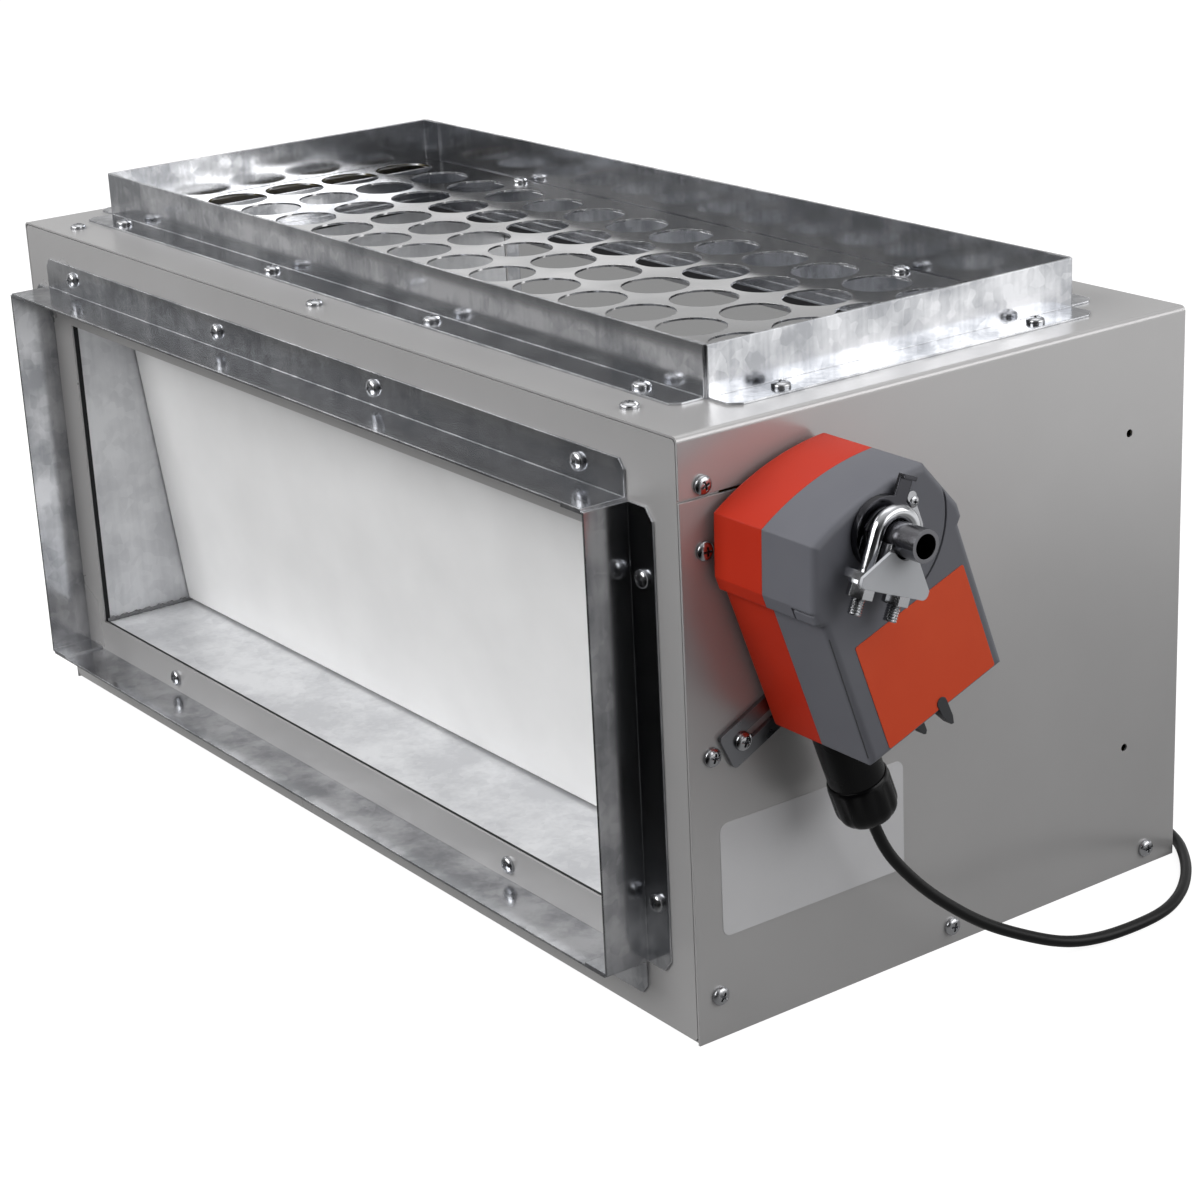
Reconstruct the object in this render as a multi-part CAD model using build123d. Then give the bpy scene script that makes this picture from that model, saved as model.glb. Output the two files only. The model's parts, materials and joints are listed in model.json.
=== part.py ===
from build123d import *
import os
from math import acos, cos, pi, radians, sin, sqrt, tan

os.makedirs("parts", exist_ok=True)

# Bypass damper: an insulated sheet metal box with three duct ports and one swinging blade.
# Millimetres, +Z up, origin at the middle of the base, front port facing -Y, actuator on +X.

# Duct collars, one size on all three ports; the cabinet's size follows them
collar_width = 502.0
collar_height = 198.0
collar_lip = 22.0
collar_flange = 15.0
collar_sheet = 1.0
collar_offset_x = -5.0
collar_foot_z = 25.5
top_port_centre_y = 2.0
corner_slit = 1.8
corner_tab = 14.0
flange_cut_long = 5.0
flange_cut_short = 4.0
collar_screw_inset = 8.0
long_screw_end = 31.3
long_screw_inner = 69.0
short_screw_end = 30.4

# Cabinet
cabinet_extra_width = 52.0
cabinet_extra_depth = 74.0
cabinet_extra_height = 56.0
sheet = 1.0
fold_radius = 2.5
panel_gap = 0.4
return_flange = 20.0
base_flange = 16.0

# Inner duct: liner walls and floor, and the port that the front and the rear panel share
liner_left_room = 42.0
liner_right_room = 52.0
liner_top_drop = 8.0
liner_lip = 12.0
port_margin = 17.5
soft_gap = 0.3

# Perforated balancing plate in the top port
plate_columns = 14
plate_rows = 5
plate_edge_x = 6.4
plate_edge_y = 24.0
plate_web = 3.6
plate_clearance = 0.5
top_opening_margin = 0.7
plate_screw_y_inset = 7.0
plate_screw_x = 150.5

# Screws
screw_head = 8.0
screw_head_height = 2.6
screw_head_top = 6.0
screw_shank = 3.6
screw_length = 7.0
screw_fit = 0.05
panel_screw_inset = 11.0
side_screw_low = 19.2
side_screw_drops = (131.4, 46.8, 20.7)
base_screw_z = 8.4
base_screw_y = 0.5
base_screw_inset = 18.2
top_screw_shift = -3.5
top_screw_end = 41.5
top_screw_inset = 12.0
floor_screw_drop = 9.1
pilot_hole = 3.5
pilot_inset = 32.5
pilot_low = 61.0
pilot_drop = 49.3

# A cutter reaches this far past what it cuts
past = 5.0

# Shaft and blade; the blade hangs closed over the front port and swings up under the top port
shaft_diameter = 12.7
shaft_bore = 9.5
shaft_inset = 43.7
shaft_drop = 31.5
shaft_left_inset = 15.0
shaft_past_saddle = 10.4
shaft_slit = 1.2
blade_lean = 6.8
blade_thickness = 25.0
blade_face_offset = 13.9
blade_skin = 0.8
blade_side_gap = 1.0
blade_floor_gap = 1.6
blade_top_reach = 9.0
blade_corner = 8.0
rivet_diameter = 4.8
rivet_head = 8.0
rivet_head_height = 1.0
rivet_tail_height = 2.4
blade_rivet_pitch = 175.0
wiper_inset = 2.0
running_gap = 0.35
fit_gap = 0.05

# Bushes that carry the shaft in the liner walls
bush_outer = 18.0
bush_flange = 24.0
bush_flange_thickness = 2.0
bush_length = 22.0

# Stops that the blade closes on
stop_flange = 12.0
stop_lip = 13.0
seal_thickness = 3.0
header_drop = 6.0

# Rating label, bare
label_width = 96.0
label_height = 49.0
label_thickness = 0.25
label_corner = 4.0
label_inset = 61.7
label_centre_z = 68.5

# Actuator, placed from the shaft by the middle of its front label and turned about X
actuator_beside_shaft = 22.6
actuator_below_shaft = 55.2
actuator_turn = 20.0
actuator_standoff = 2.5
actuator_base_depth = 30.1
actuator_depth = 59.9
actuator_wall = 2.2
actuator_bottom_v = -26.0
half_width_low = 35.6
half_width_high = 38.1
half_shoulder = 28.9
step_v = 39.0
step_rise = 4.5
shoulder_v = 70.6
crown_v = 74.4
high_side_v = 47.0
cover_edge = 3.0
actuator_label_width = 57.4
actuator_label_height = 47.8
actuator_label_thickness = 0.25
actuator_label_corner = 1.0
groove_width = 0.9
groove_depth = 0.6
scale_radius = 33.0
scale_start = -68.0
scale_arc = 70.0
latch_v = 45.6
latch_length = 12.5
latch_drop = 5.0
hook_radius = 2.3
hook_tip = 0.5
hook_length = 8.0
hook_spacing = 9.5
hook_inset = 3.4
clip_u = 17.0
clip_low_v = -10.5
clip_width = 3.6
clip_length = 17.0
clip_thickness = 1.0
clip_screw = 4.4
clip_screw_height = 1.2

# Gear train inside the actuator
gear_module = 1.0
pressure_angle = 25.0
sector_teeth = 48
sector_cut_teeth = 15
pinion_teeth = 12
wheel_teeth = 30
motor_teeth = 10
tooth_shave = 0.16
hub_outer = 20.0
gear_ring = 11.4
arbor_diameter = 9.0
pin_diameter = 4.0
motor_shaft = 2.4
motor_diameter = 28.0
motor_length = 15.0
motor_turn = -126.87
spring_turns = 5
spring_inner = 5.25
spring_pitch = 2.2
spring_strip = 0.8
spring_width = 7.0
spring_post = 3.0
spring_steps = 12
axial_room = 1.0
sector_room = 1.5
board_room = 2.4
plate_inset = 0.4
plate_thickness = 2.0
wheel_width = 5.0
sector_width = 6.0
can_wall = 1.2
magnet_room = 4.0
hub_back_gap = 0.2
hub_front_reach = 0.5
board_width = 58.0
board_height = 34.0
board_thickness = 1.6
board_edge = 4.0
board_post = 4.0
board_foot = 2.0

# Shaft clamp outside the actuator
clamp_turn = 22.0
disc_radius = 14.0
disc_thickness = 3.2
disc_tab_width = 6.2
disc_tab_reach = 22.4
disc_tab_root = 8.0
disc_tab_shift = 3.0
disc_tab_sheet = 1.6
disc_tab_rise = 2.0
u_bolt_rod = 5.6
u_bolt_back = 4.2
u_bolt_leg = 31.0
saddle_width = 31.0
saddle_rise = 4.4
saddle_depth = 10.4
saddle_thickness = 3.4
saddle_seat = 14.6
jaw_half = 6.2
jaw_fit = 0.02
nut_flats = 9.0
nut_height = 5.0
nut_flange = 11.6
nut_flange_height = 1.5
indicator_thickness = 1.5
indicator_top = 14.0
indicator_bottom = 34.0
indicator_high = 5.6
indicator_shaft_gap = 0.9
indicator_corner = 2.5
indicator_foot_gap = 0.4
indicator_wide_at = 16.5
indicator_low = 20.4

# Anti-rotation strap
strap_length = 62.0
strap_width = 16.4
strap_thickness = 2.0
strap_screw_inset = 24.9
strap_screw_drop = 127.9
strap_turn = 26.0
strap_corner = 2.0
strap_slot = 4.4
strap_slot_length = 26.0
strap_end = 8.5

# Conduit adapter, gland nut and cord
adapter_u = -23.4
adapter_x = 25.0
adapter_plate = 2.2
adapter_foot = 37.0
adapter_foot_shift = -3.0
adapter_foot_extra = 1.2
adapter_foot_corner = 3.0
adapter_body = 23.4
adapter_length = 29.0
gland_diameter = 25.6
gland_length = 21.0
gland_shoulder = 7.0
gland_lip = 1.6
cord_diameter = 5.0
cord_floor_gap = 0.1
coil_x = 152.0
coil_y = 174.0
coil_mean = 27.6
coil_top_arc = 300.0
cord_first_run = 15.0
cord_arc_share = 0.45
wire_diameter = 1.8
wire_spacing = 2.2
wire_length = 24.0

# Worked out from the sizes above
cabinet_width = collar_width + cabinet_extra_width
cabinet_depth = collar_height + cabinet_extra_depth
cabinet_height = collar_height + cabinet_extra_height
front_y = -cabinet_depth / 2
back_y = cabinet_depth / 2
side_x = cabinet_width / 2
liner_left_x = liner_left_room - side_x
liner_right_x = side_x - liner_right_room
liner_floor_z = collar_foot_z + port_margin
liner_top_z = cabinet_height - liner_top_drop
port_top_z = collar_foot_z + collar_height - port_margin
port_centre_z = collar_foot_z + collar_height / 2
plate_pitch_x = (collar_width - plate_edge_x) / plate_columns
plate_pitch_y = (collar_height - plate_edge_y) / plate_rows
plate_hole = min(plate_pitch_x, plate_pitch_y) - plate_web
shaft_y = front_y + shaft_inset
shaft_z = cabinet_height - shaft_drop
panel_half = side_x - sheet - panel_gap
panel_top = cabinet_height - sheet - panel_gap
duct_centre_x = (liner_left_x + liner_right_x) / 2
hole_radius = screw_shank / 2 + screw_fit
lean = radians(blade_lean)
blade_front = Vector(0, -cos(lean), -sin(lean))
shaft_point = Vector(0, shaft_y, shaft_z)
face_drop = blade_face_offset * sin(lean)
blade_reach = (shaft_z - face_drop - liner_floor_z - blade_floor_gap) / cos(lean)
lifted_back_z = shaft_z + blade_thickness - blade_face_offset
actuator_plane = Plane(
    origin=(side_x, shaft_y + actuator_beside_shaft, shaft_z - actuator_below_shaft),
    x_dir=(0, cos(radians(actuator_turn)), sin(radians(actuator_turn))),
    z_dir=(1, 0, 0),
)
shaft_local = actuator_plane.to_local_coords(Vector(side_x, shaft_y, shaft_z))
shaft_u, shaft_v = shaft_local.X, shaft_local.Y
soft_inset = screw_length + soft_gap
housing_back = actuator_standoff
housing_split = actuator_standoff + actuator_base_depth
housing_front = actuator_standoff + actuator_depth
saddle_low_x = housing_front + saddle_rise
saddle_high_x = saddle_low_x + saddle_depth
u_bolt_x = saddle_low_x + u_bolt_back
strap_plane = Plane(
    origin=(side_x, front_y + strap_screw_inset, cabinet_height - strap_screw_drop),
    x_dir=(0, cos(radians(strap_turn)), sin(radians(strap_turn))),
    z_dir=(1, 0, 0),
)
clamp_plane = Plane(
    origin=(side_x, shaft_y, shaft_z),
    x_dir=(0, cos(radians(clamp_turn)), -sin(radians(clamp_turn))),
    z_dir=(1, 0, 0),
)


def block(x0, x1, y0, y1, z0, z1):
    """A box between two corners."""
    return Pos((x0 + x1) / 2, (y0 + y1) / 2, (z0 + z1) / 2) * Box(x1 - x0, y1 - y0, z1 - z0)


def rod(start, end, radius):
    """A round bar between two points."""
    start, end = Vector(start), Vector(end)
    axis = end - start
    return Solid.make_cylinder(radius, axis.length, Plane(origin=start, z_dir=axis))


def prism(plane, low, high, sketch):
    """A sketch drawn on a plane and extruded between two distances along its normal."""
    return extrude(plane.offset(low) * sketch, amount=high - low)


def save(name, shape):
    """Writes one sub-part, as one solid or as a group of separate solids."""
    export_step(shape, f"parts/{name}.step")


def group(shapes):
    """Several separate solids under one name."""
    return Compound([solid for shape in shapes for solid in shape.solids()])


def drill(shape, places):
    """Cuts a screw hole at each place, a point and the outward direction of the screw."""
    bores = []
    for point, outward in places:
        point, outward = Vector(point), Vector(outward)
        bores.append(rod(point - outward * (screw_length + past), point + outward * past, hole_radius))
    return shape - bores


# Places of the screws: a point on the outer surface and the outward direction


def collar_screw_places():
    """Screws of one collar, in the collar's own plane, along its four flanges."""
    y_line = collar_height / 2 + collar_screw_inset
    x_line = collar_width / 2 + collar_screw_inset
    long_x = collar_width / 2 - long_screw_end
    short_y = collar_height / 2 - short_screw_end
    along = (-long_x, -long_screw_inner, long_screw_inner, long_x)
    places = [(x, side * y_line) for side in (-1, 1) for x in along]
    places += [(side * x_line, y) for side in (-1, 1) for y in (-short_y, short_y)]
    return places


def front_collar_point(u, v):
    return (collar_offset_x + u, front_y, port_centre_z + v)


def rear_collar_point(u, v):
    return (collar_offset_x + u, back_y, port_centre_z + v)


def top_collar_point(u, v):
    return (collar_offset_x + u, top_port_centre_y + v, cabinet_height)


front_collar_screws = [(front_collar_point(u, v), (0, -1, 0)) for u, v in collar_screw_places()]
rear_collar_screws = [(rear_collar_point(u, v), (0, 1, 0)) for u, v in collar_screw_places()]
top_collar_screws = [(top_collar_point(u, v), (0, 0, 1)) for u, v in collar_screw_places()]
side_screw_heights = [side_screw_low] + [cabinet_height - drop for drop in side_screw_drops]
front_side_screws = [
    ((side * side_x, front_y + panel_screw_inset, z), (side, 0, 0))
    for side in (-1, 1)
    for z in side_screw_heights
]
base_side_screws = [
    ((side * side_x, y, base_screw_z), (side, 0, 0))
    for side in (-1, 1)
    for y in (base_screw_y, back_y - base_screw_inset)
]
top_screw_pitch = side_x - top_screw_end
top_edge_screws = [
    ((top_screw_shift + i * top_screw_pitch, front_y + top_screw_inset, cabinet_height), (0, 0, 1))
    for i in (-1, 0, 1)
]
floor_screws = [
    ((collar_offset_x + side * plate_screw_x, front_y, liner_floor_z - floor_screw_drop), (0, -1, 0))
    for side in (-1, 1)
]
plate_screw_y = collar_height / 2 - plate_screw_y_inset
plate_screws = [
    (
        (collar_offset_x + side * plate_screw_x, top_port_centre_y + end * plate_screw_y, cabinet_height),
        (0, 0, 1),
    )
    for side in (-1, 1)
    for end in (-1, 1)
]
pilot_y = back_y - pilot_inset
pilot_z = (pilot_low, cabinet_height - pilot_drop)


# Cabinet panels


def top_opening():
    """The cut-out in the cabinet's top that the perforated plate covers."""
    half_x = (plate_pitch_x * (plate_columns - 1) + plate_hole) / 2 + top_opening_margin
    half_y = (plate_pitch_y * (plate_rows - 1) + plate_hole) / 2 + top_opening_margin
    return (
        collar_offset_x - half_x,
        collar_offset_x + half_x,
        top_port_centre_y - half_y,
        top_port_centre_y + half_y,
    )


def wrapper():
    """Top and both sides, folded from one sheet, slit from its front edge to the shaft's hole."""
    outer = block(-side_x, side_x, front_y, back_y, 0, cabinet_height)
    outer = fillet(outer.edges().filter_by(Axis.Y).group_by(Axis.Z)[-1], fold_radius)
    inner = block(
        sheet - side_x, side_x - sheet, front_y - past, back_y + past, -past, cabinet_height - sheet
    )
    inner = fillet(inner.edges().filter_by(Axis.Y).group_by(Axis.Z)[-1], fold_radius - sheet)
    x0, x1, y0, y1 = top_opening()
    shell = outer - inner - block(x0, x1, y0, y1, cabinet_height - past, cabinet_height + past)
    x0, x1 = side_x - past, side_x + past
    hole_top = shaft_z + shaft_diameter / 2 + running_gap
    shell -= rod((x0, shaft_y, shaft_z), (x1, shaft_y, shaft_z), hole_top - shaft_z)
    shell -= block(x0, x1, front_y - past, shaft_y, hole_top - shaft_slit, hole_top)
    for z in pilot_z:
        shell -= rod((x0, pilot_y, z), (x1, pilot_y, z), pilot_hole / 2)
    return drill(
        shell,
        front_side_screws
        + base_side_screws
        + top_edge_screws
        + top_collar_screws
        + plate_screws
        + [strap_screw_place()],
    )


def port_cut(y0, y1):
    """The duct port that the front and the rear panel share."""
    return block(liner_left_x, liner_right_x, y0, y1, liner_floor_z, port_top_z)


def front_panel():
    """A shallow pan set into the cabinet's front, with four return flanges."""
    low = sheet + panel_gap
    outer = block(-panel_half, panel_half, front_y, front_y + return_flange, low, panel_top)
    outer = fillet(outer.edges().filter_by(Axis.Y), fold_radius)
    inner = block(
        sheet - panel_half,
        panel_half - sheet,
        front_y + sheet,
        front_y + return_flange + past,
        low + sheet,
        panel_top - sheet,
    )
    inner = fillet(inner.edges().filter_by(Axis.Y), fold_radius - sheet)
    pan = outer - inner - port_cut(front_y - past, front_y + past)
    return drill(pan, front_side_screws + top_edge_screws + front_collar_screws + floor_screws)


def base_and_back():
    """Base and rear panel in one sheet, with flanges up the sides and round the back."""
    base = block(-panel_half, panel_half, front_y + sheet + panel_gap, back_y, 0, sheet)
    rear = block(-panel_half, panel_half, back_y - sheet, back_y, 0, panel_top)
    shape = base + rear - port_cut(back_y - past, back_y + past)
    clear_front = front_y + return_flange + panel_gap
    for side in (-1, 1):
        x0, x1 = sorted((side * panel_half, side * (panel_half - sheet)))
        shape += block(x0, x1, clear_front, back_y - sheet, sheet, base_flange)
        shape += block(x0, x1, back_y - base_flange, back_y - sheet, base_flange, panel_top)
    shape += block(
        -panel_half, panel_half, back_y - base_flange, back_y - sheet, panel_top - sheet, panel_top
    )
    envelope = block(-panel_half, panel_half, front_y, back_y, 0, panel_top)
    envelope = fillet(envelope.edges().filter_by(Axis.Y).group_by(Axis.Z)[-1], fold_radius)
    return drill(shape & envelope, base_side_screws + rear_collar_screws)


def liner_floor():
    """Duct floor, with its front and rear edges turned down to stand on the base."""
    y0 = front_y + sheet + panel_gap
    y1 = back_y - sheet - panel_gap
    z0 = sheet + panel_gap + sheet + panel_gap
    shape = block(liner_left_x, liner_right_x, y0, y1, liner_floor_z - sheet, liner_floor_z)
    for y in (y0, y1 - sheet):
        shape += block(liner_left_x, liner_right_x, y, y + sheet, z0, liner_floor_z - sheet)
    return drill(shape, floor_screws + front_collar_screws + rear_collar_screws)


def liner_side(x_face, outward, bored):
    """Duct side wall, from the base to the top, with a lip turned out along its top edge."""
    y0 = front_y + sheet + panel_gap
    y1 = back_y - sheet - panel_gap
    z0 = sheet + panel_gap + sheet + panel_gap
    x0, x1 = sorted((x_face, x_face + outward * sheet))
    lip0, lip1 = sorted((x_face, x_face + outward * liner_lip))
    shape = block(x0, x1, y0, y1, z0, liner_top_z)
    shape += block(lip0, lip1, y0 + base_flange, y1 - base_flange, liner_top_z - sheet, liner_top_z)
    if bored:
        start, end = (x0 - past, shaft_y, shaft_z), (x1 + past, shaft_y, shaft_z)
        shape -= rod(start, end, bush_outer / 2 + fit_gap)
    return shape


def insulation_side(x_face, outward):
    """Glass fibre slab beside a liner wall, short of the points of the screws."""
    inner = x_face + outward * (sheet + soft_gap)
    x0, x1 = sorted((inner, outward * (side_x - soft_inset)))
    y0, y1 = front_y + soft_inset, back_y - soft_inset
    z0 = 2 * (sheet + panel_gap) + soft_gap
    shape = block(x0, x1, y0, y1, z0, liner_top_z - sheet - soft_gap)
    bore = bush_outer / 2 + soft_gap
    return shape - rod((x0 - past, shaft_y, shaft_z), (x1 + past, shaft_y, shaft_z), bore)


def insulation_floor():
    """Glass fibre slab under the duct floor."""
    x0, x1 = liner_left_x + soft_gap, liner_right_x - soft_gap
    y0, y1 = front_y + soft_inset, back_y - soft_inset
    z0 = 2 * (sheet + panel_gap) + soft_gap
    return block(x0, x1, y0, y1, z0, liner_floor_z - sheet - soft_gap)


# Duct collars


def collar():
    """A folded collar in its own plane: four walls, lapped corners and four outward flanges."""
    half_w, half_h, t = collar_width / 2, collar_height / 2, collar_sheet
    pieces = []
    for side in (-1, 1):
        y0, y1 = sorted((side * half_h, side * (half_h - t)))
        long_wall = block(corner_slit - half_w, half_w - corner_slit, y0, y1, 0, collar_lip)
        x0, x1 = sorted((side * half_w, side * (half_w - t)))
        short_wall = block(x0, x1, t - half_h, half_h - t, 0, collar_lip)
        pieces += [long_wall, short_wall, long_flange(side), short_flange(side)]
        for end in (-1, 1):
            tab_x0, tab_x1 = sorted((side * (half_w - t), side * (half_w - t - corner_tab)))
            tab_y0, tab_y1 = sorted((end * (half_h - t), end * (half_h - 2 * t)))
            pieces.append(block(tab_x0, tab_x1, tab_y0, tab_y1, 0, collar_lip))
    shape = pieces[0] + pieces[1:]
    return shape - [rod((u, v, -past), (u, v, past), hole_radius) for u, v in collar_screw_places()]


def long_flange(side):
    half_w, half_h = collar_width / 2, collar_height / 2
    y_in, y_out = side * (half_h - collar_sheet), side * (half_h + collar_flange)
    outline = Polyline(
        (-half_w + corner_slit, y_in),
        (half_w - corner_slit, y_in),
        (half_w - corner_slit, y_out - side * flange_cut_short),
        (half_w - flange_cut_long, y_out),
        (flange_cut_long - half_w, y_out),
        (-half_w + corner_slit, y_out - side * flange_cut_short),
        close=True,
    )
    return extrude(make_face(outline), amount=collar_sheet, dir=(0, 0, 1))


def short_flange(side):
    half_w, half_h = collar_width / 2, collar_height / 2
    y_end = half_h - collar_sheet
    x_in, x_out = side * (half_w - collar_sheet), side * (half_w + collar_flange)
    outline = Polyline(
        (x_in, -y_end),
        (x_out - side * flange_cut_short, -y_end),
        (x_out, flange_cut_long - y_end),
        (x_out, y_end - flange_cut_long),
        (x_out - side * flange_cut_short, y_end),
        (x_in, y_end),
        close=True,
    )
    return extrude(make_face(outline), amount=collar_sheet, dir=(0, 0, 1))


def front_collar():
    plane = Plane(origin=(collar_offset_x, front_y, port_centre_z), x_dir=(1, 0, 0), z_dir=(0, -1, 0))
    return plane * collar()


def rear_collar():
    plane = Plane(origin=(collar_offset_x, back_y, port_centre_z), x_dir=(1, 0, 0), z_dir=(0, 1, 0))
    return plane * collar()


def top_collar():
    return Pos(collar_offset_x, top_port_centre_y, cabinet_height) * collar()


# Top port


def perforated_plate():
    """Balancing plate that fills the top collar, punched with a grid of large round holes."""
    half_x = collar_width / 2 - collar_sheet - plate_clearance
    half_y = collar_height / 2 - 2 * collar_sheet - plate_clearance
    plate = Pos(collar_offset_x, top_port_centre_y, cabinet_height + sheet / 2) * Box(
        2 * half_x, 2 * half_y, sheet
    )
    holes = GridLocations(plate_pitch_x, plate_pitch_y, plate_columns, plate_rows)
    centre = Pos(collar_offset_x, top_port_centre_y, cabinet_height)
    plate -= [centre * place * Cylinder(plate_hole / 2, 2 * past) for place in holes]
    return drill(plate, plate_screws)


def top_stop_frame():
    """Frame under the top opening: walls down from the plate, with a lip turned in to stop the blade."""
    _, _, y0, y1 = top_opening()
    y0, y1 = y0 + panel_gap, y1 - panel_gap
    x0, x1 = liner_left_x + panel_gap, liner_right_x - panel_gap
    low = lifted_back_z + soft_gap + seal_thickness
    top = cabinet_height
    outer = block(x0, x1, y0, y1, low, top)
    inner = block(x0 + sheet, x1 - sheet, y0 + sheet, y1 - sheet, low + sheet, top + past)
    way = block(
        x0 + stop_flange, x1 - stop_flange, y0 + stop_flange, y1 - stop_flange, low - past, low + past
    )
    frame = outer - inner - way
    ledge_top = cabinet_height - sheet
    for edge0, edge1 in ((y0 - stop_lip, y0), (y1, y1 + stop_lip)):
        frame += block(x0, x1, edge0, edge1, ledge_top - sheet, ledge_top)
    return drill(frame, plate_screws)


def top_seal():
    """Foam gasket under the stop frame's lip; the lifted blade closes on it."""
    _, _, y0, y1 = top_opening()
    y0, y1 = y0 + panel_gap, y1 - panel_gap
    x0, x1 = liner_left_x + panel_gap, liner_right_x - panel_gap
    low = lifted_back_z + soft_gap
    ring = block(x0, x1, y0, y1, low, low + seal_thickness)
    return ring - block(
        x0 + stop_flange, x1 - stop_flange, y0 + stop_flange, y1 - stop_flange, low - past, low + past
    )


def blade_face_y(z):
    """Where the closed blade's front face is at a height."""
    along = (shaft_z - face_drop - z) / cos(lean)
    return shaft_y - blade_face_offset * cos(lean) + along * sin(lean)


def front_header():
    """Folded sheet over the front port that fills the space between the panel and the blade."""
    y0 = front_y + sheet
    z0 = port_top_z + sheet
    y1 = blade_face_y(z0 + header_drop) - soft_gap - seal_thickness
    x0, x1 = liner_left_x + panel_gap, liner_right_x - panel_gap
    shape = block(x0, x1, y0, y0 + sheet, z0, z0 + return_flange)
    shape += block(x0, x1, y0, y1, z0, z0 + sheet)
    return shape + block(x0, x1, y1 - sheet, y1, z0, z0 + header_drop)


def header_seal():
    """Foam strip on the header's lip; the closed blade rests on it."""
    z0 = port_top_z + sheet
    y1 = blade_face_y(z0 + header_drop) - soft_gap
    x0, x1 = liner_left_x + panel_gap, liner_right_x - panel_gap
    return block(x0, x1, y1 - seal_thickness, y1, z0, z0 + header_drop)


# Shaft, bushes and blade


def damper_shaft():
    """Tube right through the blade, the liner and the actuator."""
    start, end = shaft_left_inset - side_x, side_x + saddle_high_x + shaft_past_saddle
    tube = rod((start, shaft_y, shaft_z), (end, shaft_y, shaft_z), shaft_diameter / 2)
    bore = rod((start - past, shaft_y, shaft_z), (end + past, shaft_y, shaft_z), shaft_bore / 2)
    shape = tube - bore
    for x, direction in blade_rivet_places():
        shape -= rivet_bore(x, direction)
    return shape


def shaft_bush(x_face, outward):
    """Flanged bush: the flange is in the duct and the sleeve goes through the liner wall."""
    flange_x = x_face - outward * bush_flange_thickness
    end_x = x_face + outward * bush_length
    flange = rod((flange_x, shaft_y, shaft_z), (x_face, shaft_y, shaft_z), bush_flange / 2)
    sleeve = rod((x_face, shaft_y, shaft_z), (end_x, shaft_y, shaft_z), bush_outer / 2)
    bore_start = (flange_x - outward * past, shaft_y, shaft_z)
    bore_end = (end_x + outward * past, shaft_y, shaft_z)
    bore = rod(bore_start, bore_end, shaft_diameter / 2 + fit_gap)
    return flange + sleeve - bore


def blade_ends():
    """The blade's ends: it clears the liner walls, and the bush flanges at the shaft."""
    return liner_left_x + blade_side_gap, liner_right_x - blade_side_gap


def blade_section(inset):
    """The blade's outline across the shaft, drawn from the shaft: x towards its back, y up."""
    back = blade_thickness - blade_face_offset - inset
    front = inset - blade_face_offset
    low = inset - blade_reach
    high = blade_top_reach - inset
    outline = Rectangle(back - front, high - low)
    outline = Pos((back + front) / 2, (high + low) / 2) * outline
    return fillet(outline.vertices().group_by(Axis.Y)[-1], blade_corner - inset)


def blade_solid(inset, x0, x1):
    """The blade's outline at an inset, from one end to the other, hanging at its lean."""
    return extrude(blade_plane(x0) * blade_section(inset), amount=x1 - x0)


def blade_plane(x):
    """A plane across the shaft: x towards the blade's back, y up along the blade."""
    return Plane(origin=(x, shaft_y, shaft_z), x_dir=-blade_front, z_dir=(1, 0, 0))


def blade_cut(low, high):
    """A slab across the blade, between two distances behind its front face."""
    face_point = shaft_point + blade_front * blade_face_offset
    plane = Plane(origin=face_point, z_dir=-blade_front, x_dir=(1, 0, 0))
    slab = Box(2 * cabinet_width, 4 * blade_reach, high - low)
    return plane * Pos(0, 0, (low + high) / 2) * slab


def bush_recess():
    """Room in the blade's ends for the flanges of the bushes."""
    radius = bush_flange / 2 + running_gap
    reach = bush_flange_thickness + running_gap
    return [
        rod((wall - outward * reach, shaft_y, shaft_z), (wall + outward * past, shaft_y, shaft_z), radius)
        for wall, outward in ((liner_left_x, -1), (liner_right_x, 1))
    ]


def blade_rivet_places():
    """Three through rivets that fix the blade to its shaft: their x, and their direction."""
    return [(duct_centre_x + i * blade_rivet_pitch, -blade_front) for i in (-1, 0, 1)]


def rivet_bore(x, direction):
    centre = Vector(x, shaft_y, shaft_z)
    radius = rivet_diameter / 2 + fit_gap
    return rod(centre - direction * blade_thickness, centre + direction * blade_thickness, radius)


def shaft_bore_cut():
    return rod(
        (liner_left_x - past, shaft_y, shaft_z),
        (liner_right_x + past, shaft_y, shaft_z),
        shaft_diameter / 2 + fit_gap,
    )


def blade_cuts():
    """What is cut from every layer of the blade: shaft, rivets and bush flanges."""
    return [shaft_bore_cut()] + bush_recess() + [rivet_bore(x, d) for x, d in blade_rivet_places()]


def blade_front_skin():
    """White pan: the front face with its edges folded back over the top, the bottom and both ends."""
    x0, x1 = blade_ends()
    pan = blade_solid(0, x0, x1) - blade_solid(blade_skin, x0 + blade_skin, x1 - blade_skin)
    keep = blade_cut(-past, blade_thickness - blade_skin - fit_gap)
    return (pan & keep) - blade_cuts()


def blade_back_skin():
    """Galvanised sheet that closes the pan at the back."""
    x0, x1 = blade_ends()
    whole = blade_solid(0, x0, x1)
    return (whole & blade_cut(blade_thickness - blade_skin, blade_thickness + past)) - blade_cuts()


def blade_core():
    """Insulation board between the two skins."""
    x0, x1 = blade_ends()
    inset = blade_skin + fit_gap
    core = blade_solid(inset, x0 + inset, x1 - inset)
    keep = blade_cut(inset, blade_thickness - blade_skin - 2 * fit_gap)
    return (core & keep) - blade_cuts()


def blade_rivets():
    """Rivets through the blade and its shaft: a low head in front and a set tail behind."""
    rivets = []
    for x, direction in blade_rivet_places():
        centre = Vector(x, shaft_y, shaft_z)
        front = centre - direction * blade_face_offset
        back = centre + direction * (blade_thickness - blade_face_offset)
        head = rod(front - direction * rivet_head_height, front, rivet_head / 2)
        tail = rod(back, back + direction * rivet_tail_height, rivet_head / 2)
        rivets.append(head + rod(front, back, rivet_diameter / 2) + tail)
    return group(rivets)


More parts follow.
